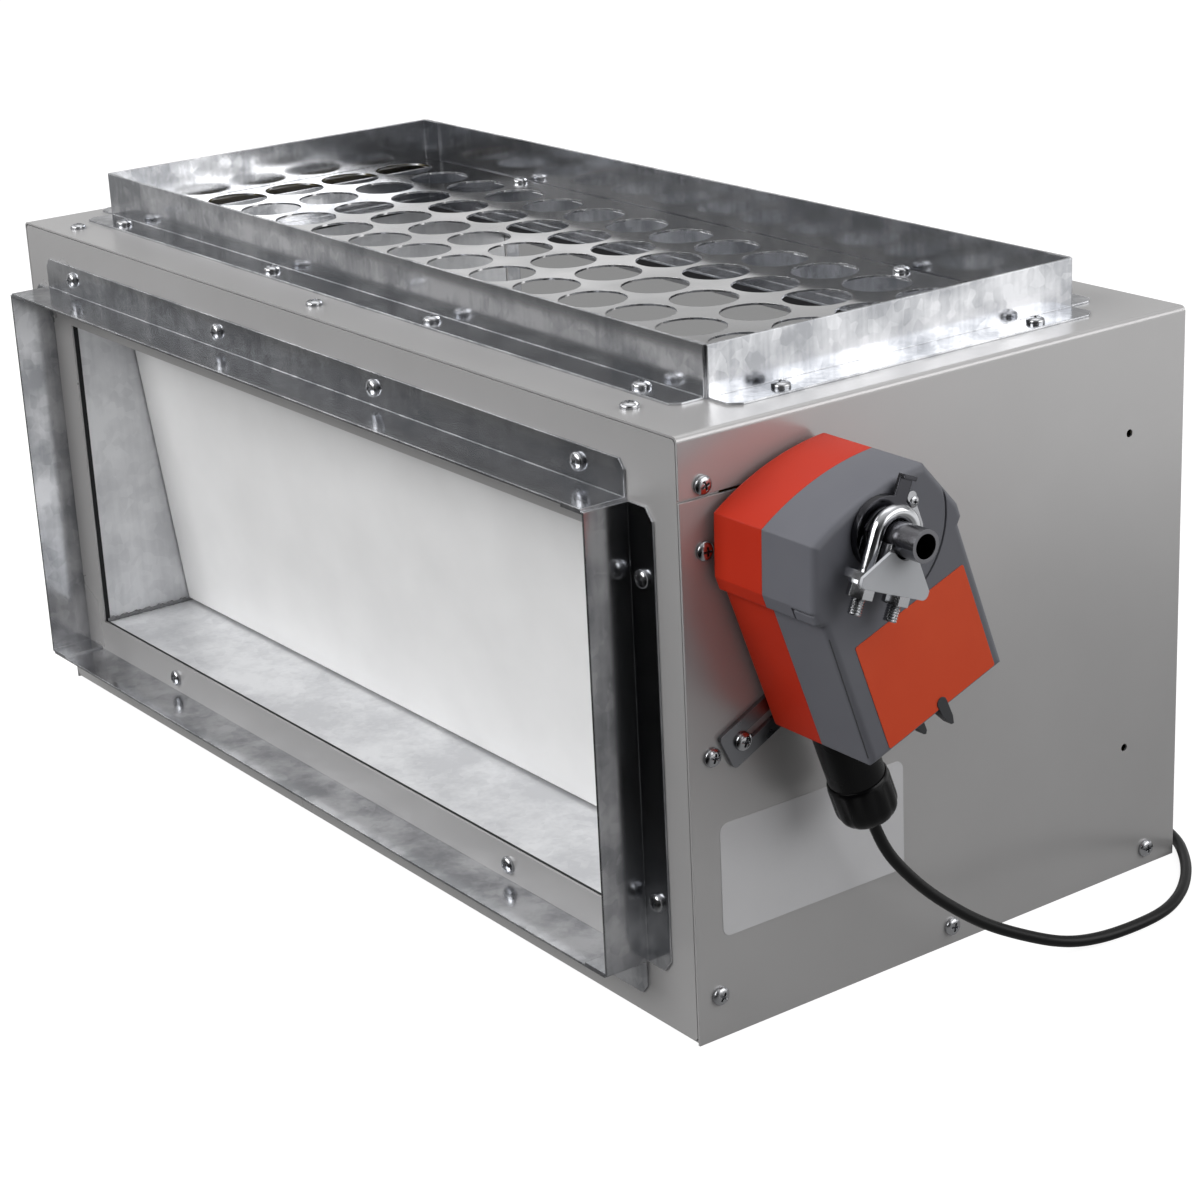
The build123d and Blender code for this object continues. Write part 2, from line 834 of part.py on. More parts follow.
def hexagon(start, end, across_flats):
    start, end = Vector(start), Vector(end)
    axis = end - start
    plane = Plane(origin=start, z_dir=axis)
    outline = RegularPolygon(across_flats / 2, 6, major_radius=False)
    return extrude(plane * outline, amount=axis.length)


def blade_wiper():
    """Rubber strip under the lower edge, cut to run just clear of the duct floor."""
    x0, x1 = blade_ends()
    front = wiper_inset - blade_face_offset
    back = blade_thickness - blade_face_offset - wiper_inset

    def floor_reach(across):
        return (shaft_z + across * sin(lean) - liner_floor_z - running_gap) / cos(lean)

    outline = Polyline(
        (front, -blade_reach),
        (back, -blade_reach),
        (back, -floor_reach(back)),
        (front, -floor_reach(front)),
        close=True,
    )
    return extrude(blade_plane(x0) * make_face(outline), amount=x1 - x0)


# Screws


def pan_screw(point, outward, under=0.0):
    """A pan head sheet metal screw: its head stands on a surface, lifted by what is under it."""
    point, outward = Vector(point), Vector(outward)
    seat = point + outward * under
    head = Plane(origin=seat, z_dir=outward) * Cone(
        screw_head / 2, screw_head_top / 2, screw_head_height, align=(Align.CENTER, Align.CENTER, Align.MIN)
    )
    shank = rod(seat, seat - outward * screw_length, screw_shank / 2)
    return head + shank


def screw_set(places, under=0.0):
    return group([pan_screw(point, outward, under) for point, outward in places])


# Rating label on the side panel


def rounded_plate(plane, centre, width, height, corner, low, high):
    outline = Pos(*centre) * RectangleRounded(width, height, corner)
    return prism(plane, low, high, outline)


def rating_label():
    centre = (side_x, front_y + label_inset, label_centre_z)
    plane = Plane(origin=centre, x_dir=(0, 1, 0), z_dir=(1, 0, 0))
    return rounded_plate(plane, (0, 0), label_width, label_height, label_corner, 0, label_thickness)


# Actuator housing


def housing_outline():
    """The actuator seen from the front: straight flanks with a small step, shoulders and a crown."""
    u = shaft_u
    low, step = actuator_bottom_v, step_v
    left = Polyline(
        (u - half_width_low, low),
        (u - half_width_low, step),
        (u - half_width_high, step + step_rise / 2),
        (u - half_width_high, high_side_v),
        (u - half_shoulder, shoulder_v),
    )
    crown = ThreePointArc(
        (u - half_shoulder, shoulder_v), (u, crown_v), (u + half_shoulder, shoulder_v)
    )
    right = Polyline(
        (u + half_shoulder, shoulder_v),
        (u + half_width_high, high_side_v),
        (u + half_width_high, step + step_rise / 2),
        (u + half_width_low, step),
        (u + half_width_low, low),
    )
    foot = Line((u + half_width_low, low), (u - half_width_low, low))
    return make_face([left, crown, right, foot])


def housing_half(x0, x1, rounded_end):
    """One shell of the housing: solid outline, rounded at its closed end and hollowed."""
    body = prism(actuator_plane, x0, x1, housing_outline())
    ends = body.faces().sort_by(Axis.X)
    closed = ends[-1] if rounded_end > 0 else ends[0]
    body = fillet(closed.edges(), cover_edge)
    inside = offset(housing_outline(), amount=-actuator_wall, kind=Kind.INTERSECTION)
    if rounded_end > 0:
        hollow = prism(actuator_plane, x0 - past, x1 - actuator_wall, inside)
    else:
        hollow = prism(actuator_plane, x0 + actuator_wall, x1 + past, inside)
    return body - hollow


def shaft_way(radius):
    """A bore through the whole actuator, in line with the shaft."""
    end_x = side_x + housing_front + disc_thickness + past
    return rod((side_x, shaft_y, shaft_z), (end_x, shaft_y, shaft_z), radius)


def actuator_base():
    """Rear shell, moulded in orange, with a post inside for the outer end of the spring."""
    shell = housing_half(housing_back, housing_split, -1)
    reach = spring_inner + spring_pitch * spring_turns + spring_strip / 2 + soft_gap + spring_post / 2
    post_centre = (idler_centre[0] + reach, idler_centre[1])
    shell += round_bar(post_centre, spring_post / 2, housing_back + actuator_wall, spring_low + spring_width)
    return shell - shaft_way(hub_outer / 2 + fit_gap)


def actuator_cover():
    """Front shell, moulded in grey, with a travel scale and a latch line engraved in it."""
    shell = housing_half(housing_split, housing_front, 1)
    return shell - shaft_way(hub_outer / 2 + fit_gap) - travel_scale() - latch_line()


def travel_scale():
    """Arc engraved in the cover beside the shaft."""
    inner, outer = scale_radius - groove_width / 2, scale_radius + groove_width / 2
    ring = Circle(outer) - Circle(inner)
    ring &= Rot(0, 0, scale_start) * sector_mask(scale_arc, scale_radius + past)
    arc = Pos(shaft_u, shaft_v) * ring
    return prism(actuator_plane, housing_front - groove_depth, housing_front + past, arc)


def sector_mask(arc, radius):
    """A pie slice from the X axis round to an angle under 180 degrees."""
    reach = radius / cos(radians(arc / 2))
    far = [(reach * cos(radians(arc * share)), reach * sin(radians(arc * share))) for share in (0, 0.5, 1)]
    return make_face(Polyline((0, 0), *far, close=True))


def latch_line():
    """Groove in the cover's left flank: along the flank from the front face, then down to the step."""
    face = shaft_u - half_width_high
    along = Pos(face, latch_v) * Rectangle(2 * groove_depth, groove_width)
    down = Pos(face, latch_v - latch_drop / 2) * Rectangle(2 * groove_depth, latch_drop + groove_width)
    end = housing_front - latch_length
    groove = prism(actuator_plane, end, housing_front + past, along)
    return groove + prism(actuator_plane, end - groove_width, end, down)


def cover_hooks():
    """Two small tapered hooks under the cover's lower edge."""
    hooks = []
    for u, back in ((0.0, hook_inset), (-hook_spacing, 2 * hook_inset)):
        origin = actuator_plane.from_local_coords(Vector(u, actuator_bottom_v, housing_front - back))
        plane = Plane(origin=origin, x_dir=(1, 0, 0), z_dir=-actuator_plane.y_dir)
        hooks.append(
            plane * Cone(hook_radius, hook_tip, hook_length, align=(Align.CENTER, Align.CENTER, Align.MIN))
        )
    return group(hooks)


def stop_clip():
    """Small clip beside the shaft, held by its own screw, which limits the swing."""
    centre = (shaft_u + clip_u, shaft_v + clip_low_v + clip_length / 2)
    top = housing_front + clip_thickness
    outline = Pos(*centre) * SlotOverall(clip_length, clip_width, rotation=90)
    clip = prism(actuator_plane, housing_front, top, outline)
    screw = (centre[0], centre[1] + (clip_length - clip_width) / 2)
    return clip + round_bar(screw, clip_screw / 2, top, top + clip_screw_height)


def actuator_label():
    return rounded_plate(
        actuator_plane,
        (0, 0),
        actuator_label_width,
        actuator_label_height,
        actuator_label_corner,
        housing_front,
        housing_front + actuator_label_thickness,
    )


# Gear train


def involute(angle):
    return tan(angle) - angle


def tooth_angles(teeth):
    """Radii and half angles along one flank of a tooth, from root to tip."""
    pitch = gear_module * teeth / 2
    base = pitch * cos(radians(pressure_angle))
    root = pitch - 1.25 * gear_module
    tip = pitch + 0.85 * gear_module
    at_pitch = pi / (2 * teeth) - tooth_shave / (2 * pitch)
    start = max(base, root)
    steps = [root] if root < base else []
    steps += [start + (tip - start) * i / 3 for i in range(4)]
    flank = []
    for radius in steps:
        reach = acos(min(1.0, base / radius)) if radius > base else 0.0
        flank.append((radius, at_pitch + involute(radians(pressure_angle)) - involute(reach)))
    return flank


def tooth_points(teeth, centre_angle):
    """The outline of one tooth, counter-clockwise, about the gear's centre."""
    flank = tooth_angles(teeth)
    rising = [(r, centre_angle - a) for r, a in flank]
    falling = [(r, centre_angle + a) for r, a in reversed(flank)]
    return [(r * cos(a), r * sin(a)) for r, a in rising + falling]


def gear_outline(teeth, tooth_at):
    """A whole gear with one tooth centred at an angle in degrees."""
    points = []
    for i in range(teeth):
        points += tooth_points(teeth, radians(tooth_at) + 2 * pi * i / teeth)
    return make_face(Polyline(*points, close=True))


def sector_outline():
    """The toothed part of the output gear: the teeth that the swing needs, and the web behind."""
    step = 2 * pi / sector_teeth
    first = radians(-90) - (sector_cut_teeth - 2) * step
    points = [(0, 0)]
    for i in range(sector_cut_teeth):
        points += tooth_points(sector_teeth, first + i * step)
    return make_face(Polyline(*points, close=True))


gear_centre = (shaft_u, shaft_v)
idler_distance = gear_module * (sector_teeth + pinion_teeth) / 2
idler_centre = (shaft_u, shaft_v - idler_distance)
motor_distance = gear_module * (wheel_teeth + motor_teeth) / 2
motor_centre = (
    idler_centre[0] + motor_distance * cos(radians(motor_turn)),
    idler_centre[1] + motor_distance * sin(radians(motor_turn)),
)
spring_low = housing_back + actuator_wall + axial_room
gear_plate_low = housing_split + plate_inset
motor_high = gear_plate_low
wheel_low = gear_plate_low + plate_thickness + axial_room
sector_low = wheel_low + wheel_width + sector_room
board_low = sector_low + sector_width + board_room


def round_bar(centre, radius, low, high):
    return prism(actuator_plane, low, high, Pos(*centre) * Circle(radius))


def output_hub():
    """Sleeve on the shaft that carries the output gear and the clamp's disc."""
    low = housing_back + hub_back_gap
    high = housing_front + running_gap + disc_thickness + hub_front_reach
    sleeve = round_bar(gear_centre, hub_outer / 2, low, high)
    return sleeve - round_bar(gear_centre, shaft_diameter / 2 + fit_gap, low - past, high + past)


def sector_gear():
    web = Pos(*gear_centre) * sector_outline() + Pos(*gear_centre) * Circle(gear_ring)
    high = sector_low + sector_width
    gear = prism(actuator_plane, sector_low, high, web)
    return gear - round_bar(gear_centre, hub_outer / 2 + fit_gap, sector_low - past, high + past)


def idler_gear():
    """Compound gear: pinion, wheel and the arbor that the spring winds on."""
    pinion = Pos(*idler_centre) * gear_outline(pinion_teeth, 90 + 180 / pinion_teeth)
    wheel = Pos(*idler_centre) * gear_outline(wheel_teeth, motor_turn)
    high = sector_low + sector_width + axial_room
    shape = prism(actuator_plane, wheel_low + wheel_width, high, pinion)
    shape += prism(actuator_plane, wheel_low, wheel_low + wheel_width, wheel)
    shape += round_bar(idler_centre, arbor_diameter / 2, spring_low, wheel_low)
    bore = round_bar(idler_centre, pin_diameter / 2 + fit_gap, spring_low - past, high + past)
    return shape - bore


def idler_pin():
    """Fixed pin from shell to shell that the idler turns on."""
    ends = (housing_back + actuator_wall, housing_front - actuator_wall)
    return round_bar(idler_centre, pin_diameter / 2, *ends)


def gear_plate():
    """Steel plate across the split that holds the train apart from the motor."""
    outline = offset(housing_outline(), amount=-actuator_wall - plate_inset, kind=Kind.INTERSECTION)
    high = gear_plate_low + plate_thickness
    plate = prism(actuator_plane, gear_plate_low, high, outline)
    for centre, radius in (
        (gear_centre, hub_outer / 2 + running_gap),
        (idler_centre, arbor_diameter / 2 + running_gap),
        (motor_centre, motor_shaft / 2 + running_gap),
    ):
        plate -= round_bar(centre, radius, gear_plate_low - past, high + past)
    return plate


def motor_can():
    """Drum of the small drive motor, open inside for its rotor."""
    radius, low = motor_diameter / 2, motor_high - motor_length
    can = round_bar(motor_centre, radius, low, motor_high)
    can -= round_bar(motor_centre, radius - can_wall, low + can_wall, motor_high - can_wall)
    return can - round_bar(motor_centre, motor_shaft / 2 + fit_gap, low + past, motor_high + past)


def motor_rotor():
    """Magnet, motor shaft and pinion turning together."""
    low = motor_high - motor_length + can_wall + axial_room
    high = motor_high - can_wall - axial_room
    magnet = round_bar(motor_centre, motor_diameter / 2 - magnet_room, low, high)
    axle = round_bar(motor_centre, motor_shaft / 2, low, wheel_low + wheel_width + axial_room / 2)
    outline = Pos(*motor_centre) * gear_outline(motor_teeth, motor_turn + 180 + 180 / motor_teeth)
    pinion = prism(actuator_plane, wheel_low, wheel_low + wheel_width, outline)
    return magnet + axle + pinion


def spring_points(side):
    """Points along one side of the flat spiral spring's strip."""
    points = []
    for i in range(spring_turns * spring_steps + 1):
        turn = i / spring_steps
        radius = spring_inner + spring_pitch * turn + side * spring_strip / 2
        points.append((radius * cos(2 * pi * turn), radius * sin(2 * pi * turn)))
    return points


def return_spring():
    """Flat spiral spring that brings the blade back when the power fails."""
    strip = spring_points(-1) + list(reversed(spring_points(1)))
    outline = Pos(*idler_centre) * make_face(Polyline(*strip, close=True))
    return prism(actuator_plane, spring_low, spring_low + spring_width, outline)


def circuit_board():
    """Control board behind the cover, on four short posts."""
    centre = (shaft_u, actuator_bottom_v + actuator_wall + board_foot + board_height / 2)
    board = Pos(*centre) * Rectangle(board_width, board_height)
    top = board_low + board_thickness
    shape = prism(actuator_plane, board_low, top, board)
    half_u, half_v = board_width / 2 - board_edge, board_height / 2 - board_edge
    for u in (-half_u, half_u):
        for v in (-half_v, half_v):
            post = (centre[0] + u, centre[1] + v)
            shape += round_bar(post, board_post / 2, top, housing_front - actuator_wall)
    return shape


# Clamp on the shaft's end


def clamp_disc():
    """Disc that locks the hub to the clamp, with a bent tab at its edge."""
    low, high = housing_front + running_gap, housing_front + running_gap + disc_thickness
    disc = prism(clamp_plane, low, high, Circle(disc_radius))
    middle = (disc_tab_reach + disc_tab_root) / 2
    tab = Pos(disc_tab_shift, middle) * Rectangle(disc_tab_width, disc_tab_reach - disc_tab_root)
    disc += prism(clamp_plane, high - disc_tab_sheet, high, tab)
    tip = Pos(disc_tab_shift, disc_tab_reach - disc_tab_sheet / 2) * Rectangle(disc_tab_width, disc_tab_sheet)
    disc += prism(clamp_plane, high - disc_tab_sheet, high + disc_tab_rise, tip)
    return disc - shaft_way(hub_outer / 2 + fit_gap)


def clamp_saddle():
    """Bridge under the shaft: a flat bar for the nuts with a V jaw that grips the tube."""
    top, bottom = -saddle_seat, -saddle_seat - saddle_thickness
    grip = (shaft_diameter / 2 + jaw_fit) * sqrt(2)
    half = saddle_width / 2
    outline = Polyline(
        (-half, bottom),
        (half, bottom),
        (half, top),
        (jaw_half, top),
        (jaw_half, jaw_half - grip),
        (0, -grip),
        (-jaw_half, jaw_half - grip),
        (-jaw_half, top),
        (-half, top),
        close=True,
    )
    saddle = prism(clamp_plane, saddle_low_x, saddle_high_x, make_face(outline))
    for side in (-1, 1):
        start = clamp_point(side * u_bolt_centre(), 0, u_bolt_x)
        end = clamp_point(side * u_bolt_centre(), -u_bolt_leg, u_bolt_x)
        saddle -= rod(start, end, u_bolt_rod / 2 + fit_gap)
    return saddle


def clamp_point(across, up, out):
    """A point in the clamp's own axes, at a distance out from the cabinet's side."""
    return clamp_plane.offset(out).from_local_coords(Vector(across, up, 0))


def u_bolt_centre():
    return shaft_diameter / 2 + u_bolt_rod / 2 + fit_gap


def clamp_u_bolt():
    """Round bar bent over the shaft, with two straight legs."""
    reach = u_bolt_centre()
    path = Polyline((-reach, -u_bolt_leg), (-reach, 0)) + ThreePointArc(
        (-reach, 0), (0, reach), (reach, 0)
    )
    path += Polyline((reach, 0), (reach, -u_bolt_leg))
    path = clamp_plane.offset(u_bolt_x) * path
    start = path @ 0
    section = Plane(origin=start, z_dir=path % 0) * Circle(u_bolt_rod / 2)
    return sweep(section, path=path)


def clamp_nuts():
    """Flanged hexagon nuts on the legs of the U bolt, tight under the saddle."""
    nuts = []
    seat = -saddle_seat - saddle_thickness
    for side in (-1, 1):
        across = side * u_bolt_centre()
        face = clamp_point(across, seat, u_bolt_x)
        middle = clamp_point(across, seat - nut_flange_height, u_bolt_x)
        low = clamp_point(across, seat - nut_flange_height - nut_height, u_bolt_x)
        nut = rod(face, middle, nut_flange / 2) + hexagon(middle, low, nut_flats)
        top = clamp_point(across, 0, u_bolt_x)
        end = clamp_point(across, -2 * u_bolt_leg, u_bolt_x)
        nuts.append(nut - rod(top, end, u_bolt_rod / 2 + fit_gap))
    return group(nuts)


def position_indicator():
    """Grey pointer plate in front of the saddle, with a foot that lies under it."""
    out = saddle_high_x
    face = Polyline(
        (-indicator_top / 2, -indicator_high),
        (indicator_top / 2, -indicator_high),
        (indicator_bottom / 2, -indicator_wide_at),
        (indicator_bottom / 2, -indicator_low),
        (-indicator_bottom / 2, -indicator_low),
        (-indicator_bottom / 2, -indicator_wide_at),
        close=True,
    )
    outline = make_face(face)
    outline = fillet(outline.vertices().group_by(Axis.Y)[0], indicator_corner)
    outline -= Circle(shaft_diameter / 2 + indicator_shaft_gap)
    plate = prism(clamp_plane, out, out + indicator_thickness, outline)
    foot_high = -saddle_seat - saddle_thickness
    half = u_bolt_centre() - nut_flange / 2 - indicator_foot_gap
    foot = Pos(0, foot_high - indicator_thickness / 2) * Rectangle(2 * half, indicator_thickness)
    return plate + prism(clamp_plane, saddle_low_x + indicator_thickness, out, foot)


# Strap that keeps the actuator from turning


def strap_screw_place():
    return (strap_plane.origin, Vector(1, 0, 0))


def anti_rotation_strap():
    """Slotted strap on the side panel; its far end lies behind the actuator."""
    outline = RectangleRounded(strap_length, strap_width, strap_corner)
    outline = Pos(strap_length / 2 - strap_end, 0) * outline
    strap = prism(strap_plane, 0, strap_thickness, outline)
    slot = Pos((strap_slot_length - strap_slot) / 2, 0) * SlotOverall(strap_slot_length, strap_slot)
    return strap - prism(strap_plane, -past, strap_thickness + past, slot)


# Conduit adapter, gland and cord


def gland_plane(v):
    """A plane across the gland's axis, at a height on the actuator, facing down along the axis."""
    origin = actuator_plane.from_local_coords(Vector(adapter_u, v, adapter_x))
    return Plane(origin=origin, x_dir=(1, 0, 0), z_dir=-actuator_plane.y_dir)


adapter_v = actuator_bottom_v - adapter_plate
gland_v = actuator_bottom_v - adapter_length
cord_v = gland_v - gland_length


def conduit_adapter():
    """Black adapter under the actuator: a plate across its foot and a round neck."""
    foot_width = adapter_body + adapter_foot_extra
    foot = RectangleRounded(adapter_foot, foot_width, adapter_foot_corner)
    plane = gland_plane(actuator_bottom_v)
    plate = prism(plane, 0, adapter_plate, Pos(adapter_foot_shift, 0) * foot)
    neck = gland_plane(adapter_v) * Cylinder(
        adapter_body / 2, adapter_length - adapter_plate, align=(Align.CENTER, Align.CENTER, Align.MIN)
    )
    return plate + neck


def gland_nut():
    """Nut with a tapered end that grips the cord."""
    radius = gland_diameter / 2
    mouth = cord_diameter / 2 + gland_lip
    straight = gland_length - gland_shoulder
    profile = Polyline(
        (0, 0),
        (radius, 0),
        (radius, straight),
        ((2 * radius + mouth) / 3, gland_length - gland_shoulder / 3),
        (mouth, gland_length),
        (0, gland_length),
        close=True,
    )
    return gland_plane(gland_v) * revolve(Plane.XZ * make_face(profile), Axis.Z)


def cord_route():
    """Points of the cord's route, from the gland's mouth along the floor to the coil."""
    mouth, below = gland_plane(cord_v).origin, gland_plane(cord_v - cord_first_run).origin
    return [
        (mouth.X, mouth.Y, mouth.Z),
        (below.X, below.Y, below.Z),
        (304.2, -49.4, 58.4),
        (306.8, -35.4, 43.9),
        (310.3, -14.4, 27.2),
        (313.4, 5.0, 16.4),
        (316.6, 27.0, 6.4),
        (318.8, 46.0, 2.8),
        (320.6, 66.0, 2.7),
        (319.4, 85.5, 2.7),
        (312.8, 102.0, 2.7),
        (302.6, 117.2, 2.7),
        (289.6, 131.0, 2.7),
        (272.0, 144.6, 2.7),
        (250.0, 151.6, 2.7),
        (226.0, 151.0, 2.7),
        (200.0, 146.6, 2.7),
        (176.0, 143.9, 2.7),
        (157.0, 143.9, 2.7),
    ]


def corner_radii(points):
    """For each corner, the largest arc that its two runs allow."""
    radii = []
    for a, b, c in zip(points, points[1:], points[2:]):
        first, second = Vector(b) - Vector(a), Vector(c) - Vector(b)
        turn = radians(first.get_angle(second))
        radii.append(cord_arc_share * min(first.length, second.length) / tan(turn / 2))
    return radii


def cord_lead():
    """The free cord from the gland to the coil, as straight runs joined by arcs."""
    points = cord_route()
    radii = corner_radii(points)
    path = FilletPolyline(*points, radius=radii)
    print("cord radii", [round(r, 1) for r in radii])
    section = Plane(origin=path @ 0, z_dir=path % 0) * Circle(cord_diameter / 2)
    tube = sweep(section, path=path)
    expected = pi * cord_diameter**2 / 4 * path.length
    print("cord length", round(path.length, 1), "volume ratio", round(tube.volume / expected, 4))
    return tube


def ring_part(inner, outer, low, high, arc):
    """Part of a flat ring about the coil's middle, from its front round to an angle."""
    face = Plane.XZ * Pos((inner + outer) / 2, (low + high) / 2) * Rectangle(outer - inner, high - low)
    ring = revolve(face, Axis.Z, revolution_arc=arc)
    return Pos(coil_x, coil_y, 0) * Rot(0, 0, -90) * ring


def cord_coil():
    """Outer shape of the coiled rest of the cord: two turns on the floor and one on top."""
    floor = cord_floor_gap
    split = floor + cord_diameter
    low_turns = ring_part(coil_mean - cord_diameter, coil_mean + cord_diameter, floor, split, 360)
    half = cord_diameter / 2
    top_turn = ring_part(coil_mean - half, coil_mean + half, split, split + cord_diameter, coil_top_arc)
    return low_turns + top_turn


def cord_wires():
    """Two stripped wires, straight on from the cord's far end and lying on the coil."""
    angle = radians(coil_top_arc - 90)
    out, ahead = Vector(cos(angle), sin(angle), 0), Vector(-sin(angle), cos(angle), 0)
    height = cord_floor_gap + cord_diameter + wire_diameter / 2
    end = Vector(coil_x, coil_y, height) + out * coil_mean
    wires = []
    for side in (-1, 1):
        start = end + out * (side * wire_spacing / 2)
        wires.append(rod(start, start + ahead * wire_length, wire_diameter / 2))
    return group(wires)


def main():
    save("wrapper", wrapper())
    save("front_panel", front_panel())
    save("base_and_back", base_and_back())
    save("liner_floor", liner_floor())
    save("liner_left", liner_side(liner_left_x, -1, True))
    save("liner_right", liner_side(liner_right_x, 1, True))
    save("insulation_left", insulation_side(liner_left_x, -1))
    save("insulation_right", insulation_side(liner_right_x, 1))
    save("insulation_floor", insulation_floor())
    save("front_collar", front_collar())
    save("top_collar", top_collar())
    save("rear_collar", rear_collar())
    save("perforated_plate", perforated_plate())
    save("top_stop_frame", top_stop_frame())
    save("top_seal", top_seal())
    save("front_header", front_header())
    save("header_seal", header_seal())
    save("bush_left", shaft_bush(liner_left_x, -1))
    save("bush_right", shaft_bush(liner_right_x, 1))
    save("damper_shaft", damper_shaft())
    save("blade_front_skin", blade_front_skin())
    save("blade_back_skin", blade_back_skin())
    save("blade_core", blade_core())
    save("blade_rivets", blade_rivets())
    save("blade_wiper", blade_wiper())
    save("front_collar_screws", screw_set(front_collar_screws, collar_sheet))
    save("top_collar_screws", screw_set(top_collar_screws, collar_sheet))
    save("rear_collar_screws", screw_set(rear_collar_screws, collar_sheet))
    save("side_screws", screw_set(front_side_screws + base_side_screws))
    save("top_edge_screws", screw_set(top_edge_screws))
    save("floor_screws", screw_set(floor_screws))
    save("plate_screws", screw_set(plate_screws, sheet))
    save("rating_label", rating_label())
    save("actuator_base", actuator_base())
    save("actuator_cover", actuator_cover())
    save("actuator_label", actuator_label())
    save("cover_hooks", cover_hooks())
    save("stop_clip", stop_clip())
    save("output_hub", output_hub())
    save("sector_gear", sector_gear())
    save("idler_gear", idler_gear())
    save("idler_pin", idler_pin())
    save("gear_plate", gear_plate())
    save("drive_motor", motor_can())
    save("motor_rotor", motor_rotor())
    save("return_spring", return_spring())
    save("circuit_board", circuit_board())
    save("clamp_disc", clamp_disc())
    save("clamp_saddle", clamp_saddle())
    save("clamp_u_bolt", clamp_u_bolt())
    save("clamp_nuts", clamp_nuts())
    save("position_indicator", position_indicator())
    save("anti_rotation_strap", anti_rotation_strap())
    save("strap_screw", screw_set([strap_screw_place()], strap_thickness))
    save("conduit_adapter", conduit_adapter())
    save("gland_nut", gland_nut())
    save("cord_lead", cord_lead())
    save("cord_coil", cord_coil())
    save("cord_wires", cord_wires())


if __name__ == "__main__":
    main()
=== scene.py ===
# %% [markdown]
# # A bypass damper in Blender
#
# A bypass damper is a sheet metal box in a ventilation duct. A blade inside swings on a shaft, and an
# electric actuator on the side turns that shaft. Every piece of the real box is already modelled and
# packed as a frame: this script loads that frame, dresses each piece in the finish of the real one, and
# adds the small forms that only the eye needs, such as screw recesses, a thread and the flutes of a nut.

import json
import math

import bmesh
import bpy
from mathutils import Matrix, Vector


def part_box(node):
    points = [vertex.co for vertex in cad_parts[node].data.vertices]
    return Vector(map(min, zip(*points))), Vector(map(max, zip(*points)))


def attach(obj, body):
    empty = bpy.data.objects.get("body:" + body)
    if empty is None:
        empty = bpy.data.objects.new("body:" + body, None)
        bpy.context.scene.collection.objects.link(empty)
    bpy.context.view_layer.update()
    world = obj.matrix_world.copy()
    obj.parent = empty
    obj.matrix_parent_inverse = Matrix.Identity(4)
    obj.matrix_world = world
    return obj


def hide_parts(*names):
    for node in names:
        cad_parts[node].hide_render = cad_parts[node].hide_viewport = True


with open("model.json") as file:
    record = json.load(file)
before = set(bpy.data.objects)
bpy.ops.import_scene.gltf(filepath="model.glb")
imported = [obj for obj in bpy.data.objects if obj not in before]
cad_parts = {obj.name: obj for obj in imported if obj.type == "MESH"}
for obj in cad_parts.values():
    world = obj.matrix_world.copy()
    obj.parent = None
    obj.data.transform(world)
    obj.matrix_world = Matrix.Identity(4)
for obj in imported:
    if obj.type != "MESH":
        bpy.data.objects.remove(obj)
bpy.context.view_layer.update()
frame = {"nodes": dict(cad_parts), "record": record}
MM = 0.001

# %% [markdown]
# ## The camera
#
# The camera stands where the photographer stood: in front of the box, a little to the right and above.
# Its place could be found by eye, but it was worked out from the straight edges of the box, so that
# every later difference between render and photograph is a difference in the object.

# %% Place the camera
CAMERA_PLACE = Vector((1.0735, -0.7388, 0.5512))
CAMERA_RIGHT = Vector((0.59134, 0.80507, -0.04675))
CAMERA_UP = Vector((-0.24724, 0.23617, 0.93973))
CAMERA_FORWARD = Vector((-0.76759, 0.54414, -0.33870))
LENS_MM = 84.45
SENSOR_MM = 36.0
VIEW_DEPTH = 50.0

scene = bpy.context.scene
camera_data = bpy.data.cameras.new("camera")
camera_data.lens = LENS_MM
camera_data.sensor_width = SENSOR_MM
camera_data.clip_end = VIEW_DEPTH
camera = bpy.data.objects.new("camera", camera_data)
scene.collection.objects.link(camera)
camera_turn = Matrix((CAMERA_RIGHT, CAMERA_UP, -CAMERA_FORWARD)).transposed()
camera.matrix_world = Matrix.Translation(CAMERA_PLACE) @ camera_turn.to_4x4()
scene.camera = camera
scene.view_settings.view_transform = "Standard"
print("camera", [round(c, 3) for c in camera.location])

# %% [markdown]
# ## Helpers for materials
#
# Colours are written as the hex values that a colour picker shows, and a shader works in linear light,
# so one function turns the first into the second. One more adds a node, sets it up and links its inputs.

# %% Colour and node helpers


def linear(hex_colour):
    """The linear RGBA value of an sRGB hex colour."""
    parts = [int(hex_colour[i : i + 2], 16) / 255 for i in (1, 3, 5)]
    return [c / 12.92 if c <= 0.04045 else ((c + 0.055) / 1.055) ** 2.4 for c in parts] + [1.0]


def add_node(tree, kind, inputs=None, **settings):
    """Adds a node with its settings; inputs holds values or the sockets to link."""
    node = tree.nodes.new(kind)
    for name, value in settings.items():
        setattr(node, name, value)
    for key, value in (inputs or {}).items():
        if isinstance(value, bpy.types.NodeSocket):
            tree.links.new(value, node.inputs[key])
        else:
            node.inputs[key].default_value = value
    return node


def new_material(name):
    """A material with an empty node tree, and that tree."""
    material = bpy.data.materials.new(name)
    material.use_nodes = True
    material.node_tree.nodes.clear()
    return material, material.node_tree


print("middle grey is", round(linear("#808080")[0], 3))

# %% [markdown]
# Painted pictures could give the patterns of each finish, but they blur up close, so the patterns are
# noise in the object's own space. Their sizes are real ones, in millimetres.

# %% Patterns


def per_metre(millimetres):
    """The texture scale that makes one repeat of a pattern this many millimetres wide."""
    return 1 / (millimetres * MM)


